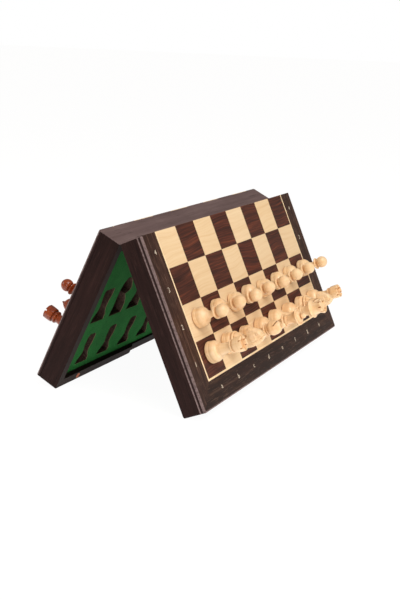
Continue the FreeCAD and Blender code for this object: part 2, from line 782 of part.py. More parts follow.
def notch_crown(body, kind):
    """Cuts equal notches into the crown, evenly round it."""
    inner, outer, width, floor, count = NOTCHES[kind]
    radius = dim(f"{kind}_radius")
    height = dim(f"{kind}_height")
    half = radius * (width / 2)
    outline = corners_only((radius * inner, -half), (radius * outer, -half), (radius * outer, half),
                           (radius * inner, half))
    sketch = sketch_on(body, f"{kind}_notch_outline", "XY_Plane", [outline], height * CROWN_CLEAR)
    pocket = body.newObject("PartDesign::Pocket", f"{kind}_notch")
    pocket.Profile = sketch
    bind(pocket, "Length", height * (CROWN_CLEAR - floor))
    ring = body.newObject("PartDesign::PolarPattern", f"{kind}_notches")
    ring.Originals = [pocket]
    ring.Axis = (sketch, ["N_Axis"])
    ring.Angle = 360
    ring.Occurrences = count
    body.Tip = ring


def cleft(body):
    """The slanting cut in the bishop's mitre."""
    radius = dim("bishop_radius")
    height = dim("bishop_height")
    outline = corners_only(*[(radius * forward, height * rise) for forward, rise in CLEFT])
    pocket = body.newObject("PartDesign::Pocket", "bishop_cleft")
    pocket.Profile = sketch_on(body, "bishop_cleft_outline", "XZ_Plane", [outline])
    pocket.Midplane = True
    bind(pocket, "Length", radius * 2)


def carve_knight(body):
    radius = dim("knight_radius")
    height = dim("knight_height")
    outline = [(radius * forward, height * rise, swell) for forward, rise, swell in KNIGHT_HEAD]
    pad = body.newObject("PartDesign::Pad", "knight_head")
    pad.Profile = sketch_on(body, "knight_head_outline", "XZ_Plane", [outline])
    pad.Midplane = True
    bind(pad, "Length", dim("knight_head"))


def piece_solids(kind):
    """Turned wood, the magnet in its base and the felt disc under it."""
    base = (0, 0, dim("piece_felt"))
    magnet = cylinder(f"{kind}_magnet", dim("piece_magnet_radius"), dim("piece_magnet_depth"), base)
    felt = cylinder(f"{kind}_felt", dim(f"{kind}_radius") * FELT_SHARE, dim("piece_felt"), (0, 0, 0))
    return [piece_wood(kind), magnet, felt]


# ---------------------------------------------------------------- placing everything
def half_placement(black):
    """From the flat frame to the tent: about the hinge line, and half a turn about Z for black."""
    half_angle = dim("tent_angle").value / 2
    lean = math.radians(half_angle)
    gap = dim("hinge_gap").value
    corner = dim("edge_round").value
    down = (DEPTH.value + gap - corner) * math.cos(lean)
    hinge_height = down - (corner + gap) * math.sin(lean) + corner
    turn = Placement(Vector(0, 0, hinge_height), Rotation(Vector(0, 1, 0), 90 - half_angle))
    placed = turn.multiply(Placement(Vector(gap, 0, gap), Rotation()))
    if black:
        placed = Placement(Vector(), Rotation(Vector(0, 0, 1), 180)).multiply(placed)
    return placed


def instance(name, solids, placement):
    """The placed copy of a group of solids; its label names its file."""
    made = joined(name, "Part::Compound", solids)
    made.Label = name
    made.Placement = placement
    return made


def stand(colour, kind, file_index, rank_out):
    """Where a chess piece stands, in the flat frame of its half."""
    letter = FILE_NAMES[file_index]
    out_shift, file_shift = STAND_OFFSETS.get(f"{colour}_{kind}_{letter}", (0.0, 0.0))
    out = SQUARE.value * (rank_out + 0.5) + out_shift
    along = SQUARE.value * (file_index - (FILES - 1) / 2) + file_shift
    if colour == "black":
        along = -along
    turn = TURNS.get(kind, {}).get(letter, 0.0)
    base = Vector(out, along, TOP.value + dim("piece_seat_gap").value)
    return Placement(base, Rotation(Vector(0, 0, 1), 180 + turn))


def chess_pieces(colour, masters, placed):
    made = []
    for file_index, letter in enumerate(FILE_NAMES):
        for kind, rank_out in ((BACK_RANK[file_index], 3), ("pawn", 2)):
            spot = placed.multiply(stand(colour, kind, file_index, rank_out))
            single = kind in ("king", "queen")
            name = f"{colour}_{kind}" if single else f"{colour}_{kind}_{letter}"
            made.append(instance(name, masters[kind], spot))
    return made


def build():
    block_thickness = WALL_TOP - BLOCK_BOTTOM
    halves = {
        "frame_walls": frame_walls(),
        "fold_edging": fold_edging(),
        "deck_panel": deck_panel(),
        "steel_sheet": steel_sheet(),
        "light_squares": squares("light", 0),
        "dark_squares": squares("dark", 1),
        "stringing": stringing(),
        "border_veneers": border_veneers(),
        "tray_block": slotted_sheet("tray_block", BLOCK_BOTTOM, block_thickness, dim("pocket_depth")),
        "tray_felt": slotted_sheet("tray_facing", dim("tray_recess"), dim("tray_felt"), dim("tray_felt")),
        "catch_magnets": catch_bores("catch_magnet"),
        "hinge_screws": hinge_screws(),
    }
    leaves = {
        "white": hinge_leaves("white_hinge", [step for step in KNUCKLE_PLACES if step]),
        "black": hinge_leaves("black_hinge", [0]),
    }
    masters = {kind: piece_solids(kind) for kind in TURNED}
    nodes = []
    for colour in ("white", "black"):
        placed = half_placement(colour == "black")
        for name, solids in halves.items():
            nodes.append(instance(f"{colour}_{name}", solids, placed))
        nodes.append(instance(f"{colour}_hinge_leaves", leaves[colour], placed))
        nodes.extend(chess_pieces(colour, masters, placed))
    nodes.append(instance("hinge_pins", hinge_pins(), half_placement(False)))
    return nodes


def check(nodes):
    """Stops if any object failed, or any sub-part is empty or invalid."""
    for item in doc.Objects:
        if "Invalid" in item.State or "Error" in item.State:
            raise RuntimeError(f"{item.Name} failed: {item.State}")
    for node in nodes:
        if node.Shape.isNull() or not node.Shape.isValid() or not node.Shape.Solids:
            raise RuntimeError(f"{node.Label} has no valid solid")
        if node.Shape.Volume <= 0:
            raise RuntimeError(f"{node.Label} has no volume")


nodes = build()
doc.recompute()
check(nodes)
os.makedirs(PARTS_FOLDER, exist_ok=True)
for node in nodes:
    node.Shape.exportStep(f"{PARTS_FOLDER}/{node.Label}.step")
print(f"{len(nodes)} sub-parts written")
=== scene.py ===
import json
import math

import bmesh
import bpy
import numpy as np
from mathutils import Euler, Matrix, Vector, geometry


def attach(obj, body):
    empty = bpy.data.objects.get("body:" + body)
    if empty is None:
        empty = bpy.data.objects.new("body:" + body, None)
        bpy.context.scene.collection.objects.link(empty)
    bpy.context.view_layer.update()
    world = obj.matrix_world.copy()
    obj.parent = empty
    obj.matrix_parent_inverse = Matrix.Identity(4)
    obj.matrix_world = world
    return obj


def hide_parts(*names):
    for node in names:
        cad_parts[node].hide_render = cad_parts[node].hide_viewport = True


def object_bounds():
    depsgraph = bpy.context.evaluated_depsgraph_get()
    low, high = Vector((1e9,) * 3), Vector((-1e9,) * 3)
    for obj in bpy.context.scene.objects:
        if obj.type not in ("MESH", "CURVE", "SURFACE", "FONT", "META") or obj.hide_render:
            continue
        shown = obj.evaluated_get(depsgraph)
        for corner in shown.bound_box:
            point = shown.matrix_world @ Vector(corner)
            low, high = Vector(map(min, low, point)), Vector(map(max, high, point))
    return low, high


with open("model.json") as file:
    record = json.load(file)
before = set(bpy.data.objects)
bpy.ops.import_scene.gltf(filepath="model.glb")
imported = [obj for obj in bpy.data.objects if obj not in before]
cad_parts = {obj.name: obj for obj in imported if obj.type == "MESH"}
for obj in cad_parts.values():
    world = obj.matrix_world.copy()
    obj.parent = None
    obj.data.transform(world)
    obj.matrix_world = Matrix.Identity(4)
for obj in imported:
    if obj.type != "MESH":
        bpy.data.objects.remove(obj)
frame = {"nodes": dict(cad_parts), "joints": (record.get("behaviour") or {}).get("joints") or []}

CAD_BOX = [list(corner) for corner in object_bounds()]
MM = 0.001

# --- the two halves' flat frames
# In a half's flat frame X runs from the fold outwards, Y along the hinge and Z from the tray's rim
# to the playing face, as when the half lies with its board up.
FILES = 8
HALF_RANKS = 4
HINGE_GAP = 0.15 * MM
BOARD_TOP = 26.0 * MM
SQUARE = 38.0 * MM
BORDER = 27.0 * MM
FIELD_HALF = SQUARE * FILES / 2
FIELD_DEPTH = SQUARE * HALF_RANKS
HALF_LENGTH = FIELD_HALF + BORDER
DEPTH = FIELD_DEPTH + BORDER
COLOURS = ("white", "black")
FILE_NAMES = "abcdefgh"
BACK_RANK = ["rook", "knight", "bishop", "queen", "king", "bishop", "knight", "rook"]


def joint(name):
    """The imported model's joint of that name."""
    return [item for item in frame["joints"] if item["name"] == name][0]


def flat_matrix(colour):
    """Takes a half's flat frame to the row frame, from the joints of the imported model."""
    normal = Vector(joint(f"lift_{colour}_king")["axis"]).normalized()
    along = Vector((0, 1 if colour == "white" else -1, 0))
    out = along.cross(normal)
    origin = Vector(joint("fold")["pos_m"]) + (out + normal) * HINGE_GAP
    matrix = Matrix((out, along, normal)).transposed().to_4x4()
    matrix.translation = origin
    return matrix


FLAT = {colour: flat_matrix(colour) for colour in COLOURS}


def piece_names():
    """Every chess piece as (node, colour, kind, file letter)."""
    found = []
    for colour in COLOURS:
        for kind, letter in zip(BACK_RANK, FILE_NAMES):
            single = kind in ("king", "queen")
            node = f"{colour}_{kind}" if single else f"{colour}_{kind}_{letter}"
            found.append((node, colour, kind, letter))
            found.append((f"{colour}_pawn_{letter}", colour, "pawn", letter))
    return found


def new_object(name, data):
    """A new object in the scene's collection."""
    made = bpy.data.objects.new(name, data)
    bpy.context.scene.collection.objects.link(made)
    return made


# --- materials
class Tree:
    """A material's node tree, built by short calls."""

    def __init__(self, name):
        self.material = bpy.data.materials.new(name)
        self.material.use_nodes = True
        self.nodes = self.material.node_tree.nodes
        self.links = self.material.node_tree.links
        self.nodes.clear()
        self.output = self.nodes.new("ShaderNodeOutputMaterial")

    def add(self, kind, settings=None, **inputs):
        """A new node of a kind, with its settings and its inputs."""
        node = self.nodes.new(f"ShaderNode{kind}")
        for key, value in (settings or {}).items():
            setattr(node, key, value)
        for key, value in inputs.items():
            self.feed(node, key, value)
        return node

    def feed(self, node, key, value):
        """Sets or links the input whose name is key, with underscores for spaces; i0, i1 count."""
        if key[0] == "i" and key[1:].isdigit():
            socket = node.inputs[int(key[1:])]
        else:
            socket = node.inputs[key.replace("_", " ")]
        if isinstance(value, bpy.types.NodeSocket):
            self.links.new(value, socket)
        elif isinstance(value, bpy.types.Node):
            self.links.new(value.outputs[0], socket)
        else:
            socket.default_value = value

    def math(self, operation, first, second=0.5, clamp=False):
        """One arithmetic step on two values or sockets."""
        made = self.add("Math", {"operation": operation, "use_clamp": clamp}, i0=first, i1=second)
        return made.outputs[0]

    def times(self, first, second):
        return self.math("MULTIPLY", first, second)

    def noise(self, vector, scale=1.0, detail=3.0, roughness=0.55, distortion=0.0):
        made = self.add("TexNoise", None, Vector=vector, Scale=scale, Detail=detail, Roughness=roughness,
                        Distortion=distortion)
        return made.outputs["Fac"]

    def ramp(self, factor, stops):
        """A colour ramp of (position, colour) stops; a colour may be one grey number."""
        made = self.add("ValToRGB", None, i0=factor)
        elements = made.color_ramp.elements
        while len(elements) < len(stops):
            elements.new(0.5)
        for element, (position, colour) in zip(elements, stops):
            element.position = position
            element.color = rgba(colour)
        return made.outputs[0]

    def mix(self, factor, first, second, blend="MIX"):
        """Two colours mixed by factor, from first to second."""
        made = self.add("Mix", {"data_type": "RGBA", "blend_type": blend})
        for place, value in ((0, factor), (6, first), (7, second)):
            if isinstance(value, bpy.types.NodeSocket):
                self.links.new(value, made.inputs[place])
            else:
                made.inputs[place].default_value = rgba(value) if place else value
        return made.outputs[2]

    def mapping(self, vector, location=(0, 0, 0), rotation=(0, 0, 0), scale=(1, 1, 1), kind="POINT"):
        made = self.add("Mapping", {"vector_type": kind}, Vector=vector, Location=location,
                        Rotation=rotation, Scale=scale)
        return made.outputs[0]

    def flat(self, colour):
        """Coordinates in the flat frame of a half, in metres."""
        place = FLAT[colour]
        source = self.add("TexCoord").outputs["Object"]
        return self.mapping(source, place.translation, place.to_euler("XYZ"), kind="TEXTURE")

    def own(self):
        """Coordinates of the object itself, in metres."""
        return self.add("TexCoord").outputs["Object"]

    def split(self, vector):
        return self.add("SeparateXYZ", None, Vector=vector).outputs

    def join(self, x, y, z):
        return self.add("CombineXYZ", None, X=x, Y=y, Z=z).outputs[0]

    def surface(self, colour, rough, relief, strength, depth, **inputs):
        """The finished material: a principled surface with relief up to depth metres."""
        bump = self.add("Bump", None, Strength=strength, Distance=depth, Height=relief)
        shader = self.add("BsdfPrincipled", None, Base_Color=colour, Roughness=rough, Normal=bump,
                          **inputs)
        self.links.new(shader.outputs[0], self.output.inputs["Surface"])
        return self.material


def rgba(colour):
    """Linear colour for a grey number, or for an sRGB triple in 0 to 255."""
    if isinstance(colour, (int, float)):
        return (colour, colour, colour, 1.0)
    linear = []
    for level in colour:
        share = level / 255
        linear.append(share / 12.92 if share <= 0.04045 else ((share + 0.055) / 1.055) ** 2.4)
    return (*linear, 1.0)


# Colours are sRGB triples; a wood is a ramp of (shade of the grain, colour), from dark to light.
WENGE_DARK = [(0.28, (29, 16, 15)), (0.5, (38, 22, 20)), (0.66, (46, 28, 26)), (0.85, (64, 43, 39))]
WENGE_BORDER = [(0.28, (38, 23, 18)), (0.48, (54, 34, 28)), (0.62, (69, 45, 37)), (0.84, (130, 100, 83))]
# The fold edging's colour is lighter and greyer than the walls': a painted sheen of the light from above
# on that face.
WENGE_EDGE_SHEEN = [(0.28, (86, 69, 68)), (0.5, (104, 85, 84)), (0.66, (116, 97, 95)), (0.85, (130, 110, 107))]
TRAY_WOOD = [(0.28, (46, 32, 28)), (0.5, (70, 52, 46)), (0.66, (92, 71, 63)), (0.85, (134, 110, 97))]
ROSEWOOD = [(0.3, (42, 24, 20)), (0.44, (65, 36, 29)), (0.56, (90, 49, 37)), (0.71, (126, 70, 49))]
MAPLE = [(0.22, (222, 187, 143)), (0.48, (231, 202, 161)), (0.78, (237, 212, 175))]
STRINGING = [(0.22, (236, 206, 162)), (0.48, (242, 216, 176)), (0.78, (246, 226, 192))]
HORNBEAM = [(0.25, (240, 206, 160)), (0.5, (247, 219, 178)), (0.78, (250, 229, 196))]
MAHOGANY = [(0.25, (122, 46, 14)), (0.5, (150, 63, 20)), (0.78, (170, 80, 31))]
# Tints multiply a wood's colour: another one for each square, or for each chess piece.
ROSEWOOD_TINTS = [(0.0, (255, 240, 232)), (0.5, (235, 235, 235)), (1.0, (255, 214, 200))]
MAPLE_TINTS = [(0.0, (255, 250, 240)), (0.5, (255, 255, 255)), (1.0, (250, 240, 228))]
HORNBEAM_TONES = [(0.0, (255, 248, 238)), (0.5, (252, 240, 228)), (1.0, (246, 230, 214))]
MAHOGANY_TONES = [(0.0, (255, 250, 245)), (1.0, (238, 226, 220))]
# Painted shade in a turned piece's grooves, found by ambient occlusion; the same colour also darkens its
# growth rings.
HORNBEAM_RINGS_AND_SHADE = (196, 136, 76)
MAHOGANY_RINGS_AND_SHADE = (66, 22, 8)
# Green facing from dark to light, and the painted highlight on its cut side faces, where they catch the
# light.
GREENS = [(0.25, (9, 66, 22)), (0.5, (16, 93, 33)), (0.8, (37, 116, 48))]
BASE_GREENS = [(0.25, (10, 34, 18)), (0.5, (18, 56, 30)), (0.8, (36, 78, 46))]
FELT_SIDE_HIGHLIGHT = (120, 112, 84)
# Metals as (dark, light).
MAGNET_METAL = ((150, 72, 40), (196, 110, 70))
STEEL = ((120, 122, 126), (168, 170, 174))
BRASS = ((150, 112, 52), (206, 168, 92))

# How fine wood grain is along and across its fibres, per metre.
GRAIN_ALONG = 9.0
GRAIN_ACROSS = 220.0
# How much finer the light pores are, where the fibres run one way only (True) or turn (False).
TICK_SCALE = {True: (7.0, 14.0, 7.0), False: (9.0, 9.0, 9.0)}
PORE_DARK = (20, 12, 11)
# The border's outer strip is darker than the two at the ends of the hinge.
STRIP_SHADES = (0.6, 1.0)
EDGE_SPAN = 3.2 * MM
RIM_SPAN = 0.3 * MM
# Painted shade: the walls' inner faces, and their rim less, are darkened towards this colour for the
# shade they lie in.
WALL_SHADE = (14, 8, 8)
WALL_SHADE_INSIDE = 0.72
WALL_SHADE_ON_RIM = 0.15
# Painted shade in the groove between wall and deck, and painted highlight on their rounded edges.
SEAM_SHADE = (46, 32, 31)
EDGE_HIGHLIGHT = (132, 113, 111)
# Painted light along the outer edges: highlights where the rounded edges of wall and deck catch the
# light, and shade in the groove of their seam. Bands as (from and to in height, blur, all in
# millimetres, colour, strength).
EDGE_BANDS = {
    "white": [
        (19.8, 21.6, 0.3, EDGE_HIGHLIGHT, 0.95),
        (23.6, 26.8, 0.5, EDGE_HIGHLIGHT, 0.9),
        (21.45, 23.3, 0.25, SEAM_SHADE, 1.0),
    ],
    "black": [
        (24.2, 26.1, 0.4, EDGE_HIGHLIGHT, 0.9),
        (22.9, 24.3, 0.3, SEAM_SHADE, 1.0),
    ],
}
# The range, in radians and metres, over which each square's leaf of veneer is turned and shifted.
LEAF_TURN = 0.16
LEAF_SHIFT = 3.0
# How far the veneer's grain bows.
GRAIN_BOW = 8.0 * MM


def grain_vector(tree, vector, along):
    """Coordinates in which the wood's fibres run along one axis: x, y or z."""
    scale = [GRAIN_ACROSS] * 3
    scale["xyz".index(along)] = GRAIN_ALONG
    return tree.mapping(vector, scale=scale)


def end_strips(tree, flat):
    """One in the strips at both ends of the hinge, up to the mitres, and nothing elsewhere."""
    x, y, _ = tree.split(flat)
    side = tree.math("ABSOLUTE", y)
    past_fold = tree.math("GREATER_THAN", side, FIELD_HALF)
    past_mitre = tree.math("GREATER_THAN", tree.math("SUBTRACT", side, x), HALF_LENGTH - DEPTH)
    return tree.times(past_fold, past_mitre)


def strip_fibres(tree, flat, hinge_only):
    """Coordinates along the fibres: along the hinge, but outwards in the strips at both ends."""
    along_y = grain_vector(tree, flat, "y")
    if hinge_only:
        return along_y
    pick = tree.add("Mix", {"data_type": "VECTOR"})
    tree.links.new(end_strips(tree, flat), pick.inputs[0])
    tree.links.new(along_y, pick.inputs[4])
    tree.links.new(grain_vector(tree, flat, "x"), pick.inputs[5])
    return pick.outputs[1]


def band(tree, level, low, high, blur):
    """One inside the span from low to high, falling to nothing over blur at both ends."""
    rise = tree.math("DIVIDE", tree.math("SUBTRACT", level, low), blur, clamp=True)
    fall = tree.math("DIVIDE", tree.math("SUBTRACT", high, level), blur, clamp=True)
    return tree.times(rise, fall)


def outer_face(tree, flat):
    """One near the outside of the box, and nothing on its inner faces."""
    x, y, _ = tree.split(flat)
    at_end = tree.math("GREATER_THAN", tree.math("ABSOLUTE", y), HALF_LENGTH - EDGE_SPAN)
    at_outside = tree.math("GREATER_THAN", x, DEPTH - EDGE_SPAN)
    return tree.math("MAXIMUM", at_end, at_outside)


def edge_lines(tree, flat, base, breaks, bands):
    """Painted highlights along the rounded edges of the wall and the deck, broken up in places, with
    painted shade in the groove of their seam between.
    """
    outside = outer_face(tree, flat)
    height = tree.split(flat)["Z"]
    highlight_breakup = tree.ramp(breaks, [(0.32, 0.45), (0.55, 1.0)])
    for low, high, blur, colour, strength in bands:
        share = tree.times(band(tree, height, low * MM, high * MM, blur * MM), outside)
        if strength < 1.0:
            share = tree.times(tree.times(share, strength), highlight_breakup)
        base = tree.mix(share, base, colour)
    return base


def stained_share(tree, flat):
    """How much painted shade darkens the wall: most on its inner faces, less on its rim."""
    rim = tree.math("LESS_THAN", tree.split(flat)["Z"], RIM_SPAN)
    inside = tree.math("SUBTRACT", 1.0, outer_face(tree, flat))
    above = tree.times(tree.times(inside, WALL_SHADE_INSIDE), tree.math("SUBTRACT", 1.0, rim))
    return tree.math("ADD", above, tree.times(rim, WALL_SHADE_ON_RIM))


def wenge_colour(tree, flat, fibre, streaks, stops, hinge_only, pores):
    """Streaked colour with short light pores, cloudy dark patches and dark pores, in that order."""
    dashes = tree.noise(fibre, scale=2.6, detail=2.0, roughness=0.5)
    ticks = tree.noise(tree.mapping(fibre, scale=TICK_SCALE[hinge_only]), detail=1.0)
    cloud = tree.noise(flat, scale=28.0, detail=2.0)
    base = tree.ramp(streaks, stops)
    lightest, darkest = stops[-1][1], stops[0][1]
    light_pore = tree.times(tree.ramp(ticks, [(0.6, 0.0), (0.7, 1.0)]), pores)
    lit = tree.mix(light_pore, base, lightest)
    shaded = tree.mix(tree.ramp(cloud, [(0.35, 0.0), (0.7, 0.35)]), lit, darkest)
    return tree.mix(tree.ramp(dashes, [(0.64, 0.0), (0.72, 0.6)]), shaded, PORE_DARK)


def wenge(name, colour, stops, hinge_only=False, rough=0.55, pores=0.5, scuffs_and_painted_light=False, spec=0.14,
          strip_shades=None):
    """Very dark brown wood with fine lighter streaks and open pores, its fibres along each strip."""
    tree = Tree(name)
    flat = tree.flat(colour)
    fibre = strip_fibres(tree, flat, hinge_only)
    streaks = tree.noise(fibre, detail=4.0, roughness=0.62, distortion=0.35)
    fine = tree.noise(fibre, scale=4.3, roughness=0.6)
    wood = wenge_colour(tree, flat, fibre, streaks, stops, hinge_only, pores)
    if strip_shades:
        side, end = strip_shades
        shade = tree.ramp(end_strips(tree, flat), [(0.0, side), (1.0, end)])
        wood = tree.mix(1.0, wood, shade, "MULTIPLY")
    # Painted light on the walls and deck: shade on the inner faces and rim, highlights along the outer
    # edges and shade in their seam.
    if scuffs_and_painted_light:
        wood = tree.mix(stained_share(tree, flat), wood, WALL_SHADE)
        breaks = tree.noise(flat, scale=420.0, detail=2.0)
        wood = edge_lines(tree, flat, wood, breaks, EDGE_BANDS[colour])
    relief = tree.math("ADD", tree.times(fine, 0.6), tree.times(streaks, 0.4))
    gloss = tree.math("ADD", tree.times(streaks, 0.25), rough - 0.12)
    return tree.surface(wood, gloss, relief, 0.25, 0.2 * MM, Specular_IOR_Level=spec)


def square_cell(tree, flat):
    """(random number, random colour), each the same over the whole of a square."""
    x, y, _ = tree.split(flat)
    across = tree.math("FLOOR", tree.math("DIVIDE", x, SQUARE))
    along = tree.math("FLOOR", tree.math("DIVIDE", y, SQUARE))
    cell = tree.join(across, along, 0.37)
    chance = tree.add("TexWhiteNoise", {"noise_dimensions": "3D"}, Vector=cell)
    return chance.outputs["Value"], chance.outputs["Color"]


def square_veneer(name, colour, stops, tints, figure, rough=0.45):
    """A veneer square: fibres along the hinge with a slow arch, another leaf of wood per square."""
    tree = Tree(name)
    flat = tree.flat(colour)
    chance, chances = square_cell(tree, flat)
    shift = tree.add("VectorMath", {"operation": "SCALE"}, i0=chances, Scale=LEAF_SHIFT).outputs[0]
    moved = tree.add("VectorMath", {"operation": "ADD"}, i0=flat, i1=shift).outputs[0]
    tilt = tree.times(tree.math("SUBTRACT", chance, 0.5), LEAF_TURN)
    turned = tree.add("VectorRotate", {"rotation_type": "Z_AXIS"}, Vector=moved, Angle=tilt).outputs[0]
    bend = tree.noise(tree.mapping(turned, scale=(26.0, 22.0, 1.0)), detail=1.0)
    x, y, z = tree.split(turned)
    arched = tree.join(tree.math("ADD", x, tree.times(bend, GRAIN_BOW)), y, z)
    fibre = tree.mapping(arched, scale=(700.0, 16.0, 1.0))
    bands = tree.noise(fibre, scale=figure, detail=4.0, roughness=0.65, distortion=0.2)
    hair = tree.mapping(arched, scale=(2200.0, 70.0, 1.0))
    fine = tree.noise(hair, detail=2.0, roughness=0.6)
    base = tree.ramp(bands, stops)
    tinted = tree.mix(0.5, base, tree.ramp(chance, tints), "MULTIPLY")
    flecks = tree.mix(tree.ramp(fine, [(0.55, 0.0), (0.75, 0.35)]), tinted, stops[0][1])
    gloss = tree.math("ADD", tree.times(bands, 0.2), rough - 0.1)
    return tree.surface(flecks, gloss, fine, 0.12, 0.1 * MM, Specular_IOR_Level=0.16)


def felt(name, colour, green, pale_side_highlight):
    """Short-pile green facing, with its cut side faces round the pockets painted pale as a highlight
    where they catch the light.
    """
    tree = Tree(name)
    flat = tree.flat(colour)
    fibres = tree.noise(flat, scale=1400.0, detail=4.0, roughness=0.75)
    nap = tree.noise(flat, scale=60.0, roughness=0.6)
    scuffs_and_painted_light = tree.noise(flat, scale=14.0, detail=2.0)
    pile = tree.ramp(fibres, green)
    patchy = tree.mix(tree.ramp(nap, [(0.35, 0.0), (0.75, 0.45)]), pile, green[-1][1])
    base = tree.mix(tree.ramp(scuffs_and_painted_light, [(0.4, 0.0), (0.75, 0.35)]), patchy, green[0][1])
    # The side faces, found by their normals, get the painted highlight.
    facing = tree.add("TexCoord").outputs["Normal"]
    board_normal = tuple(FLAT[colour].col[2][:3])
    upright = tree.add("VectorMath", {"operation": "DOT_PRODUCT"}, i0=facing, i1=board_normal)
    side = tree.math("LESS_THAN", tree.math("ABSOLUTE", upright.outputs["Value"]), 0.5)
    both = tree.mix(side, base, pale_side_highlight)
    return tree.surface(both, 0.95, fibres, 0.6, 0.4 * MM,
                        Specular_IOR_Level=0.1, Sheen_Weight=0.04, Sheen_Roughness=0.5)


def base_felt(name):
    """The dark green cloth disc under each chess piece."""
    tree = Tree(name)
    fibres = tree.noise(tree.own(), scale=1600.0, detail=4.0, roughness=0.75)
    pile = tree.ramp(fibres, BASE_GREENS)
    return tree.surface(pile, 0.95, fibres, 0.5, 0.3 * MM, Specular_IOR_Level=0.1)


def turned_wood(name, colour, stops, rings_and_shade, rough, coat, spec, tones):
    """Polished turned wood: each piece has its own tone, broad figure, growth rings that show as fine
    bands round the turning, and painted shade in the grooves."""
    tree = Tree(name)
    chance = tree.add("ObjectInfo").outputs["Random"]
    shift = tree.join(chance, tree.times(chance, 7.0), tree.times(chance, 3.0))
    flat = tree.flat(colour)
    moved = tree.add("VectorMath", {"operation": "ADD"}, i0=flat, i1=shift).outputs[0]
    broad = tree.mapping(moved, scale=(190.0, 190.0, 22.0))
    figure = tree.noise(broad, detail=2.0, roughness=0.5, distortion=0.6)
    hair = tree.mapping(moved, scale=(1300.0, 1300.0, 70.0))
    fibre = tree.noise(hair, roughness=0.6)
    up_the_axis = tree.join(0.3, chance, tree.times(tree.split(flat)["Z"], 900.0))
    rings = tree.noise(up_the_axis, detail=2.0, roughness=0.6)
    base = tree.ramp(figure, stops)
    fine = tree.mix(tree.ramp(fibre, [(0.45, 0.0), (0.8, 0.3)]), base, stops[0][1])
    banded = tree.mix(tree.ramp(rings, [(0.5, 0.0), (0.72, 0.14)]), fine, rings_and_shade)
    tone = tree.mix(1.0, banded, tree.ramp(chance, tones), "MULTIPLY")
    # Painted shade: ambient occlusion darkens the grooves towards the rings-and-shade colour.
    hollow = tree.add("AmbientOcclusion", {"samples": 8}, Distance=2.5 * MM).outputs["AO"]
    depth = tree.mix(tree.ramp(hollow, [(0.25, 1.0), (0.85, 0.0)]), tone, rings_and_shade)
    gloss = tree.math("ADD", tree.times(fibre, 0.14), rough)
    return tree.surface(depth, gloss, fibre, 0.04, 0.1 * MM,
                        Specular_IOR_Level=spec, Coat_Weight=coat, Coat_Roughness=0.06)


def inlay(name):
    """The pale wood of the coordinates, a little dirtied in spots."""
    tree = Tree(name)
    grime = tree.noise(tree.own(), scale=900.0, roughness=0.7)
    pale = tree.ramp(grime, [(0.32, (176, 160, 138)), (0.55, (222, 210, 190)), (0.75, (240, 230, 214))])
    return tree.surface(pale, 0.55, grime, 0.2, 0.1 * MM, Specular_IOR_Level=0.2)


def metal(name, colours, rough):
    """Brushed metal, dulled in patches."""
    low, high = colours
    tree = Tree(name)
    own = tree.own()
    strokes = tree.mapping(own, scale=(2500.0, 200.0, 200.0))
    brushed = tree.noise(strokes)
    tarnish = tree.noise(own, scale=900.0)
    bright = tree.ramp(brushed, [(0.3, low), (0.7, high)])
    base = tree.mix(tree.ramp(tarnish, [(0.4, 0.0), (0.7, 0.6)]), bright, low)
    gloss = tree.math("ADD", tree.times(brushed, 0.25), rough)
    return tree.surface(base, gloss, brushed, 0.1, 0.05 * MM, Metallic=1.0)


def dress(node_name, material):
    """Gives a CAD node or a piece one material."""
    thing = frame["nodes"][node_name] if isinstance(node_name, str) else node_name
    thing.data.materials.clear()
    thing.data.materials.append(material)


def box_looks(colour):
    """Materials of the walls and deck, the strip over the fold with its painted sheen, and the tray."""
    walls = wenge(f"{colour}_wenge_walls", colour, WENGE_DARK, scuffs_and_painted_light=True, spec=0.08)
    edging = wenge(f"{colour}_wenge_edging", colour, WENGE_EDGE_SHEEN, hinge_only=True, pores=0.3)
    tray = wenge(f"{colour}_tray_wood", colour, TRAY_WOOD, hinge_only=True, rough=0.75, spec=0.1)
    facing = felt(f"{colour}_green_felt", colour, GREENS, FELT_SIDE_HIGHLIGHT)
    return {"frame_walls": walls, "deck_panel": walls, "fold_edging": edging, "tray_block": tray,
            "tray_felt": facing}


def board_looks(colour):
    """Materials of the border, the squares and the thin light line round them."""
    border = wenge(f"{colour}_wenge_border", colour, WENGE_BORDER, rough=0.42, pores=0.65,
                   strip_shades=STRIP_SHADES)
    dark = square_veneer(f"{colour}_rosewood", colour, ROSEWOOD, ROSEWOOD_TINTS, figure=0.9)
    light = square_veneer(f"{colour}_maple", colour, MAPLE, MAPLE_TINTS, figure=0.5)
    strings = square_veneer(f"{colour}_pale_stringing", colour, STRINGING, MAPLE_TINTS, figure=0.5)
    return {"border_veneers": border, "dark_squares": dark, "light_squares": light,
            "stringing": strings}


def fitting_looks(colour):
    """Materials of the magnets, the steel sheet and the hinge."""
    brass = metal(f"{colour}_brass", BRASS, 0.25)
    return {"catch_magnets": metal(f"{colour}_magnet_metal", MAGNET_METAL, 0.35),
            "steel_sheet": metal(f"{colour}_steel", STEEL, 0.3), "hinge_leaves": brass,
            "hinge_screws": brass}


def dress_box():
    """Gives every CAD node of the box its material."""
    for colour in COLOURS:
        looks = {**box_looks(colour), **board_looks(colour), **fitting_looks(colour)}
        for node, material in looks.items():
            dress(f"{colour}_{node}", material)
    dress("hinge_pins", metal("pin_brass", BRASS, 0.25))


# --- chess pieces
# (base radius, height) in millimetres.
SIZES = {
    "pawn": (10.2, 36.5), "rook": (11.2, 39.5), "knight": (11.2, 46.5),
    "bishop": (11.2, 50.5), "queen": (11.8, 58.5), "king": (12.0, 64.5),
}
FELT_THICKNESS = 0.8 * MM
FELT_SHARE = 0.92
FELT_ROUND = 0.25 * MM
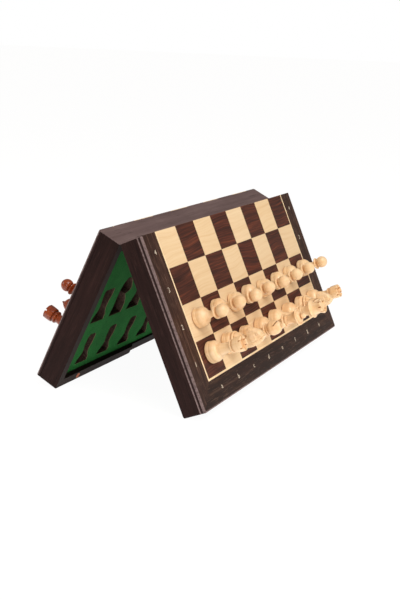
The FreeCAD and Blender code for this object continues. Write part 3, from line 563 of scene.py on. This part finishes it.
# Turned outlines: (share of the radius, share of the height, swell of the stretch that ends here as
# a share of its chord). BALL ends an outline with a ball centred on the axis. All share the plinth.
BALL = "ball"
PLINTH = [
    (0.95, 0.0, 0.0), (1.0, 0.035, 0.3), (1.0, 0.08, 0.0), (0.965, 0.09, 0.0), (0.965, 0.098, 0.0),
]
TURNED = {
    "pawn": [
        (0.7, 0.32, 0.16), (0.62, 0.33, 0.0), (0.36, 0.56, -0.16), (0.6, 0.595, 0.0),
        (0.62, 0.64, 0.35), (0.37, 0.655, 0.0), (0.37, 0.665, 0.0), (0.0, 1.0, BALL),
    ],
    "rook": [
        (0.72, 0.29, 0.16), (0.64, 0.3, 0.0), (0.44, 0.62, -0.04), (0.57, 0.65, 0.0),
        (0.58, 0.705, 0.2), (0.5, 0.715, 0.0), (0.5, 0.74, 0.0), (0.68, 0.77, 0.1),
        (0.7, 0.985, 0.02), (0.67, 1.0, 0.2), (0.48, 1.0, 0.0), (0.45, 0.9, 0.0),
        (0.0, 0.89, 0.0),
    ],
    "knight": [
        (0.84, 0.215, 0.14), (0.78, 0.225, 0.0), (0.88, 0.245, 0.1), (0.88, 0.29, 0.25),
        (0.0, 0.296, 0.0),
    ],
    "bishop": [
        (0.74, 0.235, 0.16), (0.66, 0.245, 0.0), (0.36, 0.51, -0.16), (0.6, 0.535, 0.0),
        (0.6, 0.57, 0.35), (0.42, 0.58, 0.0), (0.52, 0.605, 0.3), (0.42, 0.628, 0.3),
        (0.67, 0.735, 0.22), (0.17, 0.915, 0.16), (0.0, 1.0, BALL),
    ],
    "queen": [
        (0.74, 0.205, 0.16), (0.66, 0.215, 0.0), (0.34, 0.52, -0.14), (0.58, 0.545, 0.0),
        (0.58, 0.578, 0.35), (0.42, 0.588, 0.0), (0.5, 0.61, 0.3), (0.42, 0.632, 0.3),
        (0.76, 0.838, -0.12), (0.73, 0.862, 0.25), (0.58, 0.855, 0.0), (0.17, 0.9, 0.16),
        (0.0, 1.0, BALL),
    ],
    "king": [
        (0.76, 0.19, 0.16), (0.68, 0.2, 0.0), (0.38, 0.5, -0.14), (0.62, 0.525, 0.0),
        (0.62, 0.556, 0.35), (0.46, 0.566, 0.0), (0.54, 0.588, 0.3), (0.46, 0.61, 0.3),
        (0.82, 0.78, -0.12), (0.79, 0.802, 0.3), (0.58, 0.815, 0.0), (0.54, 0.83, 0.0),
        (0.66, 0.97, -0.06), (0.62, 1.0, 0.2), (0.5, 1.0, 0.0), (0.46, 0.976, 0.0),
        (0.0, 0.976, 0.0),
    ],
}
# Notches round a crown: (inner and outer ends, width, floor, count), as shares of radius and height.
NOTCHES = {"rook": (-0.9, 0.9, 0.13, 0.948, 6), "king": (0.4, 0.8, 0.11, 0.945, 8)}
ABOVE_CROWN = 1.02
# The slit in a bishop's mitre, as (share of the radius, share of the height).
CLEFT = [(0.22, 0.768), (0.72, 0.9), (0.72, 0.932), (0.22, 0.8)]
# Fine V-grooves cut by the turner's tool point, as shares of the height.
TOOL_LINES = {"rook": (0.345, 0.365), "bishop": (0.285,), "queen": (0.25,), "king": (0.235,)}
TOOL_DEPTH = 0.16 * MM
TOOL_HALF_WIDTH = 0.7 * TOOL_DEPTH
# The side view of the knight's head from its throat round by its nose and ear to its mane.
KNIGHT_HEAD = [
    (0.72, 0.29, 0.0), (0.44, 0.41, 0.08), (0.14, 0.52, -0.08), (0.3, 0.575, -0.15),
    (0.66, 0.596, 0.0), (0.82, 0.65, 0.18), (0.76, 0.71, 0.18), (0.33, 0.885, 0.03),
    (-0.1, 0.93, 0.05), (-0.24, 1.0, 0.0), (-0.46, 0.935, 0.0), (-0.8, 0.76, 0.1),
    (-0.9, 0.48, 0.07), (-0.84, 0.29, 0.05),
]
# Degrees by which some pieces are turned on their squares, by file.
TURNS = {"knight": {"b": 8.0, "g": -5.0}, "bishop": {"c": 0.0, "f": -16.0}}
LATHE_SIDES = 72
ARC_STEP = 0.3 * MM
# A corner is worn by CORNER_CUT, but by no more than a share of the stretches beside it.
CORNER_CUT = 0.16 * MM
CORNER_SHARE = 0.4
CORNER_STEPS = 4
SHARP_ANGLE = math.radians(38)
TINY = 1e-7


def measures(kind):
    """(base radius, height) of a kind of piece, in metres."""
    radius, height = SIZES[kind]
    return radius * MM, height * MM


def arc_points(start, end, swell):
    """Points after start up to end on the arc whose sagitta is swell times its chord, bulging to
    the right of the path."""
    chord = end - start
    if not swell:
        return [end]
    side = Vector((chord.y, -chord.x))
    half = math.atan(2 * swell) * 2
    centre = start + chord * 0.5 - side * (0.5 / math.tan(half))
    count = max(3, math.ceil(chord.length / ARC_STEP))
    spoke = start - centre
    points = []
    for step in range(1, count + 1):
        angle = 2 * half * step / count
        points.append(centre + Matrix.Rotation(angle, 2) @ spoke)
    points[-1] = end
    return points


def ball_swell(neck, rise):
    """The swell of an arc about a centre on the axis, from radius neck up to the axis."""
    chord = math.hypot(neck, rise)
    radius = chord * chord / (2 * rise)
    return (radius - math.sqrt(radius * radius - chord * chord / 4)) / chord


def traced(corners):
    """(points, flags) of an open outline of (x, y, swell); a flag marks a true corner."""
    points = [Vector(corners[0][:2])]
    flags = [False]
    for x, y, swell in corners[1:]:
        end = Vector((x, y))
        if swell == BALL:
            swell = ball_swell(points[-1].x, end.y - points[-1].y)
        stretch = arc_points(points[-1], end, swell)
        points.extend(stretch)
        flags.extend([False] * (len(stretch) - 1) + [True])
    flags[-1] = False
    return points, flags


def softened(points, flags, amount):
    """The outline with each true corner worn to a small curve."""
    made = []
    for number, (point, corner) in enumerate(zip(points, flags)):
        if not corner:
            made.append(point)
            continue
        before = points[number - 1] - point
        after = points[(number + 1) % len(points)] - point
        first = point + before.normalized() * min(amount, before.length * CORNER_SHARE)
        last = point + after.normalized() * min(amount, after.length * CORNER_SHARE)
        for step in range(CORNER_STEPS + 1):
            share = step / CORNER_STEPS
            curved = first * (1 - share) ** 2 + point * 2 * share * (1 - share) + last * share ** 2
            made.append(curved)
    return made


def scored(points, heights):
    """The outline with a fine V-groove cut in at each height."""
    for height in heights:
        for number in range(1, len(points)):
            low, high = points[number - 1], points[number]
            if low.y <= height < high.y and low.x > TOOL_DEPTH:
                run = (high - low).normalized()
                middle = low + run * ((height - low.y) / run.y)
                bottom = middle + Vector((-TOOL_DEPTH, 0))
                half = run * TOOL_HALF_WIDTH
                points[number:number] = [middle - half, bottom, middle + half]
                break
    return points


def section(kind):
    """The radial section of a piece from the middle of its felt up to the top of its axis."""
    radius, height = measures(kind)
    felt_edge = radius * FELT_SHARE
    corners = [(0.0, 0.0, 0.0), (felt_edge - FELT_ROUND, 0.0, 0.0), (felt_edge, FELT_ROUND, 0.25),
               (felt_edge, FELT_THICKNESS, 0.0)]
    for share, rise, swell in PLINTH:
        corners.append((radius * share, FELT_THICKNESS + height * rise, swell))
    for share, rise, swell in TURNED[kind]:
        corners.append((radius * share, height * rise, swell))
    points, flags = traced(corners)
    points = softened(points, flags, CORNER_CUT)
    return scored(points, [height * line for line in TOOL_LINES.get(kind, ())])


def lathe(name, points):
    """A closed surface of revolution; faces under the felt's top carry the second material."""
    mesh = bmesh.new()
    rings = []
    for point in points:
        if point.x < TINY:
            rings.append([mesh.verts.new((0, 0, point.y))])
            continue
        ring = []
        for step in range(LATHE_SIDES):
            angle = math.tau * step / LATHE_SIDES
            ring.append(mesh.verts.new((point.x * math.cos(angle), point.x * math.sin(angle), point.y)))
        rings.append(ring)
    for low, high in zip(rings, rings[1:]):
        for step in range(LATHE_SIDES):
            following = (step + 1) % LATHE_SIDES
            if len(low) == 1:
                corners = (low[0], high[following], high[step])
            elif len(high) == 1:
                corners = (low[step], low[following], high[0])
            else:
                corners = (low[step], low[following], high[following], high[step])
            face = mesh.faces.new(corners)
            face.smooth = True
            if max(corner.co.z for corner in corners) <= FELT_THICKNESS + TINY:
                face.material_index = 1
    return finished(name, mesh)


def finished(name, mesh):
    """The mesh data of what was built, with every face turned outwards."""
    made = bpy.data.meshes.new(name)
    bmesh.ops.recalc_face_normals(mesh, faces=mesh.faces)
    mesh.to_mesh(made)
    mesh.free()
    return made


def add_prism(mesh, *ends):
    """Adds the closed prism between two end outlines with as many corners."""
    low, high = [[mesh.verts.new(corner) for corner in end] for end in ends]
    mesh.faces.new(low)
    mesh.faces.new(high)
    for step in range(len(low)):
        mesh.faces.new((low[step - 1], low[step], high[step], high[step - 1]))


def combined(name, base, cutter, operation):
    """The result of one exact boolean between two meshes, as a new mesh."""
    holder = new_object(f"{name}_base", base)
    tool = new_object(f"{name}_tool", cutter)
    work = holder.modifiers.new("work", "BOOLEAN")
    work.operation = operation
    work.solver = "EXACT"
    work.object = tool
    graph = bpy.context.evaluated_depsgraph_get()
    made = bpy.data.meshes.new_from_object(holder.evaluated_get(graph))
    made.name = name
    for item in (holder, tool):
        bpy.data.objects.remove(item)
    return made


def saw_block(cuts, kind, spin):
    """Adds the block that one notch takes away, turned by spin about the axis."""
    radius, height = measures(kind)
    inner, outer, width, floor, _ = NOTCHES[kind]
    half = radius * width / 2
    near, far = radius * inner, radius * outer
    turn = Matrix.Rotation(spin, 3, "Z")
    ends = []
    for z in (height * floor, height * ABOVE_CROWN):
        corners = [(near, -half, z), (far, -half, z), (far, half, z), (near, half, z)]
        ends.append([turn @ Vector(corner) for corner in corners])
    add_prism(cuts, *ends)


def notched(kind, mesh):
    """Saw cuts evenly round the crown: a rook's go right across it, so each is cut on its own."""
    count = NOTCHES[kind][-1]
    spins = [math.tau * number / count for number in range(count)]
    passes = {f"{kind}_cut": spins}
    if kind == "rook":
        passes = {f"{kind}_cut_{number}": [spin] for number, spin in enumerate(spins[:count // 2])}
    for name, turns in passes.items():
        cuts = bmesh.new()
        for spin in turns:
            saw_block(cuts, kind, spin)
        mesh = combined(name, mesh, finished("saw", cuts), "DIFFERENCE")
    return mesh


def cleft(mesh):
    """The slanting slit cut across the bishop's mitre."""
    radius, height = measures("bishop")
    saw = bmesh.new()
    add_prism(saw, *[[(radius * forward, y, height * rise) for forward, rise in CLEFT]
                     for y in (-radius, radius)])
    return combined("bishop_cut", mesh, finished("mitre_saw", saw), "DIFFERENCE")


# --- the knight's head
HEAD_HALF = 5.75 * MM
HEAD_STEP = 0.5 * MM
MANE_PITCH = 2.7 * MM
MANE_WIDTH = 3.0 * MM
MANE_CUT = 0.55 * MM
FACE_CHAMFER = 1.3 * MM
HEAD_CORNER = 0.5 * MM
RIM_BULGE = 0.35 * MM
# How far the head goes into the base and its mane begins above it, in shares of the height.
HEAD_SINK = 0.015
MANE_START = 0.02
# The grid inside the head's side: pitch of its rows and gap to the edge, in shares of HEAD_STEP.
ROW_PITCH = 0.87
EDGE_CLEAR = 0.45
LEVEL = 1e-12
# Carved features, as (share of the radius, share of the height).
EYE = (0.14, 0.828)
CHEEK = (-0.02, 0.715)
NOSTRIL = (0.64, 0.69)
EYE_SIZE = 1.25 * MM
EYE_RISE = 0.75 * MM
LID_RADIUS = 1.15 * MM
LID_WIDTH = 0.3 * MM
LID_DEPTH = 0.5 * MM
CHEEK_RISE = 0.75 * MM
CHEEK_INNER = 3.2 * MM
CHEEK_OUTER = 4.3 * MM
CHEEK_FADE = 2.0 * MM
NOSTRIL_SIZE = 0.55 * MM
NOSTRIL_DEPTH = 0.7 * MM
# Grooves of the mouth, the ear, the mane's front edge and the chest: (start, end, width, depth).
HEAD_GROOVES = [
    ((0.9, 0.64), (0.46, 0.668), 0.32 * MM, 0.75 * MM),
    ((-0.14, 0.96), (-0.34, 0.88), 0.5 * MM, 0.9 * MM),
    ((-0.34, 0.88), (-0.5, 0.56), 0.35 * MM, 0.35 * MM),
    ((-0.02, 0.54), (0.34, 0.33), 0.45 * MM, 0.35 * MM),
]


def head_loop():
    """(outline points of the head, whether each lies on the mane)."""
    radius, height = measures("knight")
    corners = []
    for forward, rise, swell in KNIGHT_HEAD:
        sink = HEAD_SINK if rise == KNIGHT_HEAD[0][1] else 0.0
        corners.append((radius * forward, height * (rise - sink), swell))
    points, flags = traced([corners[-1]] + corners)
    points, flags = points[1:], flags[1:]
    flags[-1] = True
    points = softened(points, flags, HEAD_CORNER)
    loop = []
    for number, point in enumerate(points):
        before = points[number - 1]
        count = max(1, math.ceil((point - before).length / HEAD_STEP))
        loop.extend(before.lerp(point, step / count) for step in range(1, count + 1))
    ear = max(range(len(loop)), key=lambda number: loop[number].y)
    foot = height * (KNIGHT_HEAD[0][1] + MANE_START)
    mane = [number >= ear and point.y > foot for number, point in enumerate(loop)]
    return loop, mane


def head_grid(loop):
    """A triangular grid of points inside the loop, clear of its edge."""
    corners = np.array([tuple(point) for point in loop])
    low, high = corners.min(axis=0), corners.max(axis=0)
    grid = []
    for row, z in enumerate(np.arange(low[1], high[1], HEAD_STEP * ROW_PITCH)):
        for x in np.arange(low[0] + HEAD_STEP * 0.5 * (row % 2), high[0], HEAD_STEP):
            grid.append((x, z))
    grid = np.array(grid)
    gap = edge_gap(grid, corners)[0]
    return grid[inside_loop(grid, corners) & (gap > HEAD_STEP * EDGE_CLEAR)]


def inside_loop(places, corners):
    """Which places lie inside the loop: those with an odd number of its edges on one side."""
    ends = np.roll(corners, 1, axis=0)
    over = (corners[None, :, 1] > places[:, None, 1]) != (ends[None, :, 1] > places[:, None, 1])
    rise = ends[:, 1] - corners[:, 1]
    rise = np.where(np.abs(rise) < LEVEL, LEVEL, rise)
    share = (places[:, None, 1] - corners[:, 1]) / rise
    meets = corners[:, 0] + (ends[:, 0] - corners[:, 0]) * share
    return (over & (places[:, None, 0] < meets)).sum(axis=1) % 2 == 1


def edge_gap(places, corners):
    """How far each place is from the nearest corner of a fine loop, and which corner that is."""
    away = np.linalg.norm(places[:, None, :] - corners[None, :, :], axis=2)
    return away.min(axis=1), away.argmin(axis=1)


def eased(values, low, high):
    """Nothing up to low, one from high on, with a smooth rise between."""
    share = np.clip((values - low) / (high - low), 0.0, 1.0)
    return share * share * (3 - 2 * share)


def away_from(x, z, centre):
    """How far each place is from a centre given in shares."""
    radius, height = measures("knight")
    return np.hypot(x - centre[0] * radius, z - centre[1] * height)


def mound(x, z, centre, size, rise):
    """A rounded rise, or a pit where rise is negative, about a centre given in shares."""
    return rise * np.exp(-(away_from(x, z, centre) / size) ** 2)


def groove(x, z, start, end, width, depth):
    """A groove along the straight line between two points given in shares."""
    radius, height = measures("knight")
    first = np.array([start[0] * radius, start[1] * height])
    run = np.array([end[0] * radius, end[1] * height]) - first
    share = np.clip(((x - first[0]) * run[0] + (z - first[1]) * run[1]) / (run @ run), 0.0, 1.0)
    away = np.hypot(x - first[0] - share * run[0], z - first[1] - share * run[1])
    return -depth * np.exp(-(away / width) ** 2)


def head_block(x, z):
    """Half the head's thickness before carving: it narrows towards the ears and the nose."""
    radius, height = measures("knight")
    forward, rise = x / radius, z / height
    half = HEAD_HALF * (1.0 - 0.2 * eased(rise, 0.45, 0.95))
    half -= HEAD_HALF * 0.26 * eased(forward, 0.1, 0.75) * eased(rise, 0.52, 0.62)
    half -= HEAD_HALF * 0.22 * eased(rise, 0.9, 1.0)
    return half


def face_carving(x, z, gap):
    """What the cheek, eye, nostril and grooves add to half the thickness."""
    cheek = 1.0 - eased(away_from(x, z, CHEEK), CHEEK_INNER, CHEEK_OUTER)
    carved = CHEEK_RISE * cheek * eased(gap, 0.0, CHEEK_FADE)
    carved += mound(x, z, EYE, EYE_SIZE, EYE_RISE)
    lid = (away_from(x, z, EYE) - LID_RADIUS) / LID_WIDTH
    carved -= LID_DEPTH * np.exp(-lid ** 2)
    carved += mound(x, z, NOSTRIL, NOSTRIL_SIZE, -NOSTRIL_DEPTH)
    for start, end, width, depth in HEAD_GROOVES:
        carved += groove(x, z, start, end, width, depth)
    return carved


def head_thickness(places, loop, mane):
    """Half the head's thickness at each place on its side, with its carving."""
    corners = np.array([tuple(point) for point in loop])
    gap, nearest = edge_gap(places, corners)
    on_mane = np.array(mane)[nearest]
    lengths = np.cumsum(np.linalg.norm(corners - np.roll(corners, 1, axis=0), axis=1))
    x, z = places[:, 0], places[:, 1]
    half = head_block(x, z) + face_carving(x, z, gap)
    slope = np.where(on_mane, MANE_WIDTH, FACE_CHAMFER)
    edge = np.where(on_mane, 0.42, 0.58)
    half *= edge + (1.0 - edge) * np.sqrt(np.clip(gap / slope, 0.0, 1.0))
    wave = np.clip(np.cos(math.tau * lengths[nearest] / MANE_PITCH), 0.0, 1.0) ** 2
    fade = 1.0 - eased(gap, 0.6 * MANE_WIDTH, 1.5 * MANE_WIDTH)
    return half - np.where(on_mane, MANE_CUT * wave * fade, 0.0)


def rim_band(mesh, loop, mane):
    """Vertices round the head's edge, bulging a little and cut in by the locks of the mane."""
    lengths = np.cumsum([(point - loop[number - 1]).length for number, point in enumerate(loop)])
    band = []
    for number, point in enumerate(loop):
        run = (loop[(number + 1) % len(loop)] - loop[number - 1]).normalized()
        outward = Vector((run.y, -run.x))
        swell = RIM_BULGE
        if mane[number]:
            swell -= MANE_CUT * max(0.0, math.cos(math.tau * lengths[number] / MANE_PITCH)) ** 2
        moved = point + outward * swell
        band.append(mesh.verts.new((moved.x, 0.0, moved.y)))
    return band


def knight_head():
    """Both carved sides of the head, joined round the edge by a rounded band."""
    loop, mane = head_loop()
    rim = len(loop)
    flat = [Vector(place) for place in loop + list(head_grid(loop))]
    edges = [(number, (number + 1) % rim) for number in range(rim)]
    filled = geometry.delaunay_2d_cdt(flat, edges, [], 1, 1e-9)
    corners, faces = filled[0], filled[2]
    places = np.array([tuple(corner) for corner in corners])
    half = head_thickness(places, loop, mane)
    mesh = bmesh.new()
    sides = []
    for sign in (1, -1):
        sides.append([mesh.verts.new((x, sign * thick, z)) for (x, z), thick in zip(places, half)])
        for face in faces:
            mesh.faces.new([sides[-1][number] for number in face])
    band = rim_band(mesh, loop, mane)
    for number in range(rim):
        after = (number + 1) % rim
        for side in sides:
            mesh.faces.new((side[number], side[after], band[after], band[number]))
    for face in mesh.faces:
        face.smooth = True
    return finished("knight_head", mesh)


def piece_mesh(kind):
    """One chess piece on its own axis: turned, then carved, notched or slit as its kind is."""
    mesh = lathe(kind, section(kind))
    if kind == "knight":
        mesh = combined("knight_whole", mesh, knight_head(), "UNION")
    if kind in NOTCHES:
        mesh = notched(kind, mesh)
    if kind == "bishop":
        mesh = cleft(mesh)
    mesh.set_sharp_from_angle(angle=SHARP_ANGLE)
    return mesh


def stand_matrix(node, colour, kind, letter):
    """Where a piece stands: its CAD node's middle and foot, turned about the board's normal."""
    to_flat = FLAT[colour].inverted()
    corners = [to_flat @ vertex.co for vertex in frame["nodes"][node].data.vertices]
    xs, ys, zs = zip(*corners)
    foot = Vector(((min(xs) + max(xs)) / 2, (min(ys) + max(ys)) / 2, min(zs)))
    turn = math.radians(180 + TURNS.get(kind, {}).get(letter, 0.0))
    return FLAT[colour] @ Matrix.Translation(foot) @ Matrix.Rotation(turn, 4, "Z")


def place_piece(node, colour, kind, letter, mesh, materials):
    """A turned piece in place of its plain CAD node, riding on that node's body."""
    piece = new_object(f"{node}_turned", mesh.copy())
    piece.data.transform(stand_matrix(node, colour, kind, letter))
    piece.data.materials.clear()
    for material in materials:
        piece.data.materials.append(material)
    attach(piece, node)
    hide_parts(node)


def make_pieces():
    """All thirty-two chess pieces: one mesh for each kind, one wood for each side."""
    meshes = {kind: piece_mesh(kind) for kind in SIZES}
    light = turned_wood("hornbeam", "white", HORNBEAM, HORNBEAM_RINGS_AND_SHADE, rough=0.38, coat=0.45, spec=0.3,
                        tones=HORNBEAM_TONES)
    dark = turned_wood("mahogany", "black", MAHOGANY, MAHOGANY_RINGS_AND_SHADE, rough=0.34, coat=0.8, spec=0.2,
                       tones=MAHOGANY_TONES)
    cloth = base_felt("base_felt")
    woods = {"white": [light, cloth], "black": [dark, cloth]}
    for node, colour, kind, letter in piece_names():
        place_piece(node, colour, kind, letter, meshes[kind], woods[colour])


# --- the inlaid coordinates
# Height of the lettering, how far it stands proud, and how far outside the squares its line runs.
GLYPH_SIZE = 7.2 * MM
GLYPH_PROUD = 0.03 * MM
GLYPH_LINE = 13.2 * MM
GLYPH_CURVE_STEPS = 4


def glyph(text):
    """One mark of the built-in lettering as a mesh centred on its own middle."""
    data = bpy.data.curves.new("glyph", "FONT")
    data.body = text
    data.size = GLYPH_SIZE
    data.extrude = GLYPH_PROUD
    data.resolution_u = GLYPH_CURVE_STEPS
    holder = new_object("glyph", data)
    graph = bpy.context.evaluated_depsgraph_get()
    made = bpy.data.meshes.new_from_object(holder.evaluated_get(graph))
    bpy.data.objects.remove(holder)
    xs, ys, _ = zip(*[vertex.co for vertex in made.vertices])
    middle = Vector((min(xs) + max(xs), min(ys) + max(ys), 0)) / 2
    made.transform(Matrix.Translation(-middle))
    return made


def coordinate_marks(colour):
    """(text, outwards, along) for the files' letters and for the ranks' numbers at both ends."""
    letters = FILE_NAMES if colour == "white" else FILE_NAMES[::-1]
    marks = []
    for number, letter in enumerate(letters):
        marks.append((letter, FIELD_DEPTH + GLYPH_LINE, SQUARE * (number + 0.5) - FIELD_HALF))
    for step in range(HALF_RANKS):
        rank = HALF_RANKS - step if colour == "white" else HALF_RANKS + 1 + step
        for side in (-1, 1):
            marks.append((str(rank), SQUARE * (step + 0.5), side * (FIELD_HALF + GLYPH_LINE)))
    return marks


def make_coordinates(colour):
    """All of a half's letters and numbers as one inlaid piece."""
    whole = bmesh.new()
    upright = Matrix.Rotation(math.pi / 2, 4, "Z")
    for text, out, along in coordinate_marks(colour):
        single = glyph(text)
        single.transform(Matrix.Translation((out, along, BOARD_TOP)) @ upright)
        whole.from_mesh(single)
    name = f"{colour}_coordinates"
    piece = new_object(name, bpy.data.meshes.new(name))
    whole.to_mesh(piece.data)
    whole.free()
    piece.matrix_world = FLAT[colour]
    dress(piece, inlay(f"{colour}_inlay"))
    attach(piece, f"{colour}_half")


# --- camera, light and floor
CAMERA_AZIMUTH = math.radians(27.125)
CAMERA_ELEVATION = math.radians(14.773)
CAMERA_ROLL = math.radians(2.218)
CAMERA_FROM_HINGE = Vector((0.4855, -0.954, 0.1882))
FOCAL_LENGTH = 58.41
SENSOR = 36.0
NEAREST_SEEN = 0.01


def make_camera():
    """The camera, set from the hinge line and turned by its azimuth, elevation and roll."""
    data = bpy.data.cameras.new("camera")
    data.lens = FOCAL_LENGTH
    data.sensor_width = SENSOR
    data.clip_start = NEAREST_SEEN
    camera = new_object("camera", data)
    turn = Euler((math.pi / 2 - CAMERA_ELEVATION, 0, CAMERA_AZIMUTH), "XYZ").to_matrix()
    roll = Matrix.Rotation(CAMERA_ROLL, 3, "Z")
    camera.matrix_world = (turn @ roll).to_4x4()
    camera.location = Vector(joint("fold")["pos_m"]) + CAMERA_FROM_HINGE
    bpy.context.scene.camera = camera


# Soft boxes: (name, place, what it aims at, its two sides, watts, colour).
LIGHTS = [
    ("key", (1.2, -0.55, 1.8), (0, 0, 0.08), (1.8, 1.8), 29.0, (1.0, 0.99, 0.97)),
    ("sparkle", (1.15, -0.52, 1.72), (0, 0, 0.08), (0.3, 0.3), 5.0, (1.0, 1.0, 1.0)),
    ("front", (0.56, -2.0, 0.55), (0.1, 0, 0.1), (0.4, 0.4), 5.5, (1.0, 0.96, 0.93)),
    ("left", (-1.6, -0.9, 0.9), (0, 0, 0.1), (0.5, 0.7), 5.0, (1.0, 1.0, 1.0)),
]


def area_light(name, place, target, size, power, colour):
    """A rectangular soft box that faces its target."""
    data = bpy.data.lights.new(name, "AREA")
    data.shape = "RECTANGLE"
    data.size, data.size_y = size
    data.energy = power
    data.color = colour
    light = new_object(name, data)
    light.location = place
    light.rotation_euler = (Vector(target) - Vector(place)).to_track_quat("-Z", "Y").to_euler()


FLOOR_SIZE = 60.0
# How much of the floor's shading the camera sees, and how brightly the rest of it glows.
SHADOW_SHARE = 0.1
FLOOR_GLOW = 1.06
# The floor lights the object from below, most of all at its middle and not at all past a radius.
FLOOR_LIFT = 0.8
LIT_RADIUS = 0.7
WORLD_LIGHT = 0.36
WORLD_TINT = (1.0, 0.9, 0.8)
WHITE = (1.0, 1.0, 1.0, 1.0)


def floor_paper():
    """White paper that shows only a faint shadow, so that it meets the white background."""
    tree = Tree("floor_paper")
    flecks = tree.noise(tree.own(), scale=90.0)
    paper = tree.ramp(flecks, [(0.3, (250, 250, 250)), (0.7, (254, 254, 254))])
    matte = tree.add("BsdfDiffuse", None, Color=paper)
    glow = tree.add("Emission", None, Color=WHITE, Strength=FLOOR_GLOW)
    seen = tree.add("LightPath").outputs["Is Camera Ray"]
    share = tree.times(seen, 1.0 - SHADOW_SHARE)
    both = tree.add("MixShader", None, Fac=share, i1=matte, i2=glow)
    away = tree.add("VectorMath", {"operation": "LENGTH"}, i0=tree.own()).outputs["Value"]
    near = tree.math("SUBTRACT", 1.0, tree.math("DIVIDE", away, LIT_RADIUS), clamp=True)
    unseen = tree.math("SUBTRACT", 1.0, seen)
    lift = tree.times(unseen, tree.times(near, FLOOR_LIFT))
    lifted = tree.add("AddShader", None, i0=both, i1=tree.add("Emission", None, Strength=lift))
    tree.links.new(lifted.outputs[0], tree.output.inputs["Surface"])
    return tree.material


def make_floor():
    """A wide square of paper, level with the lowest point of the object."""
    mesh = bmesh.new()
    half = FLOOR_SIZE / 2
    level = CAD_BOX[0][2]
    corners = [(-half, -half), (half, -half), (half, half), (-half, half)]
    mesh.faces.new([mesh.verts.new((x, y, level)) for x, y in corners])
    floor = new_object("floor", finished("floor", mesh))
    dress(floor, floor_paper())


def make_world():
    """White where the camera looks past the object, dimmer where it lights the object."""
    world = bpy.data.worlds.new("world")
    bpy.context.scene.world = world
    world.use_nodes = True
    nodes = world.node_tree.nodes
    links = world.node_tree.links
    background = nodes["Background"]
    path = nodes.new("ShaderNodeLightPath")
    sky = nodes.new("ShaderNodeMix")
    sky.data_type = "RGBA"
    sky.inputs[6].default_value = [*[WORLD_LIGHT * share for share in WORLD_TINT], 1.0]
    sky.inputs[7].default_value = WHITE
    links.new(path.outputs["Is Camera Ray"], sky.inputs[0])
    links.new(sky.outputs[2], background.inputs["Color"])


bpy.context.scene.view_settings.view_transform = "Standard"
dress_box()
make_pieces()
for colour in COLOURS:
    make_coordinates(colour)
make_camera()
make_floor()
make_world()
for light in LIGHTS:
    area_light(*light)
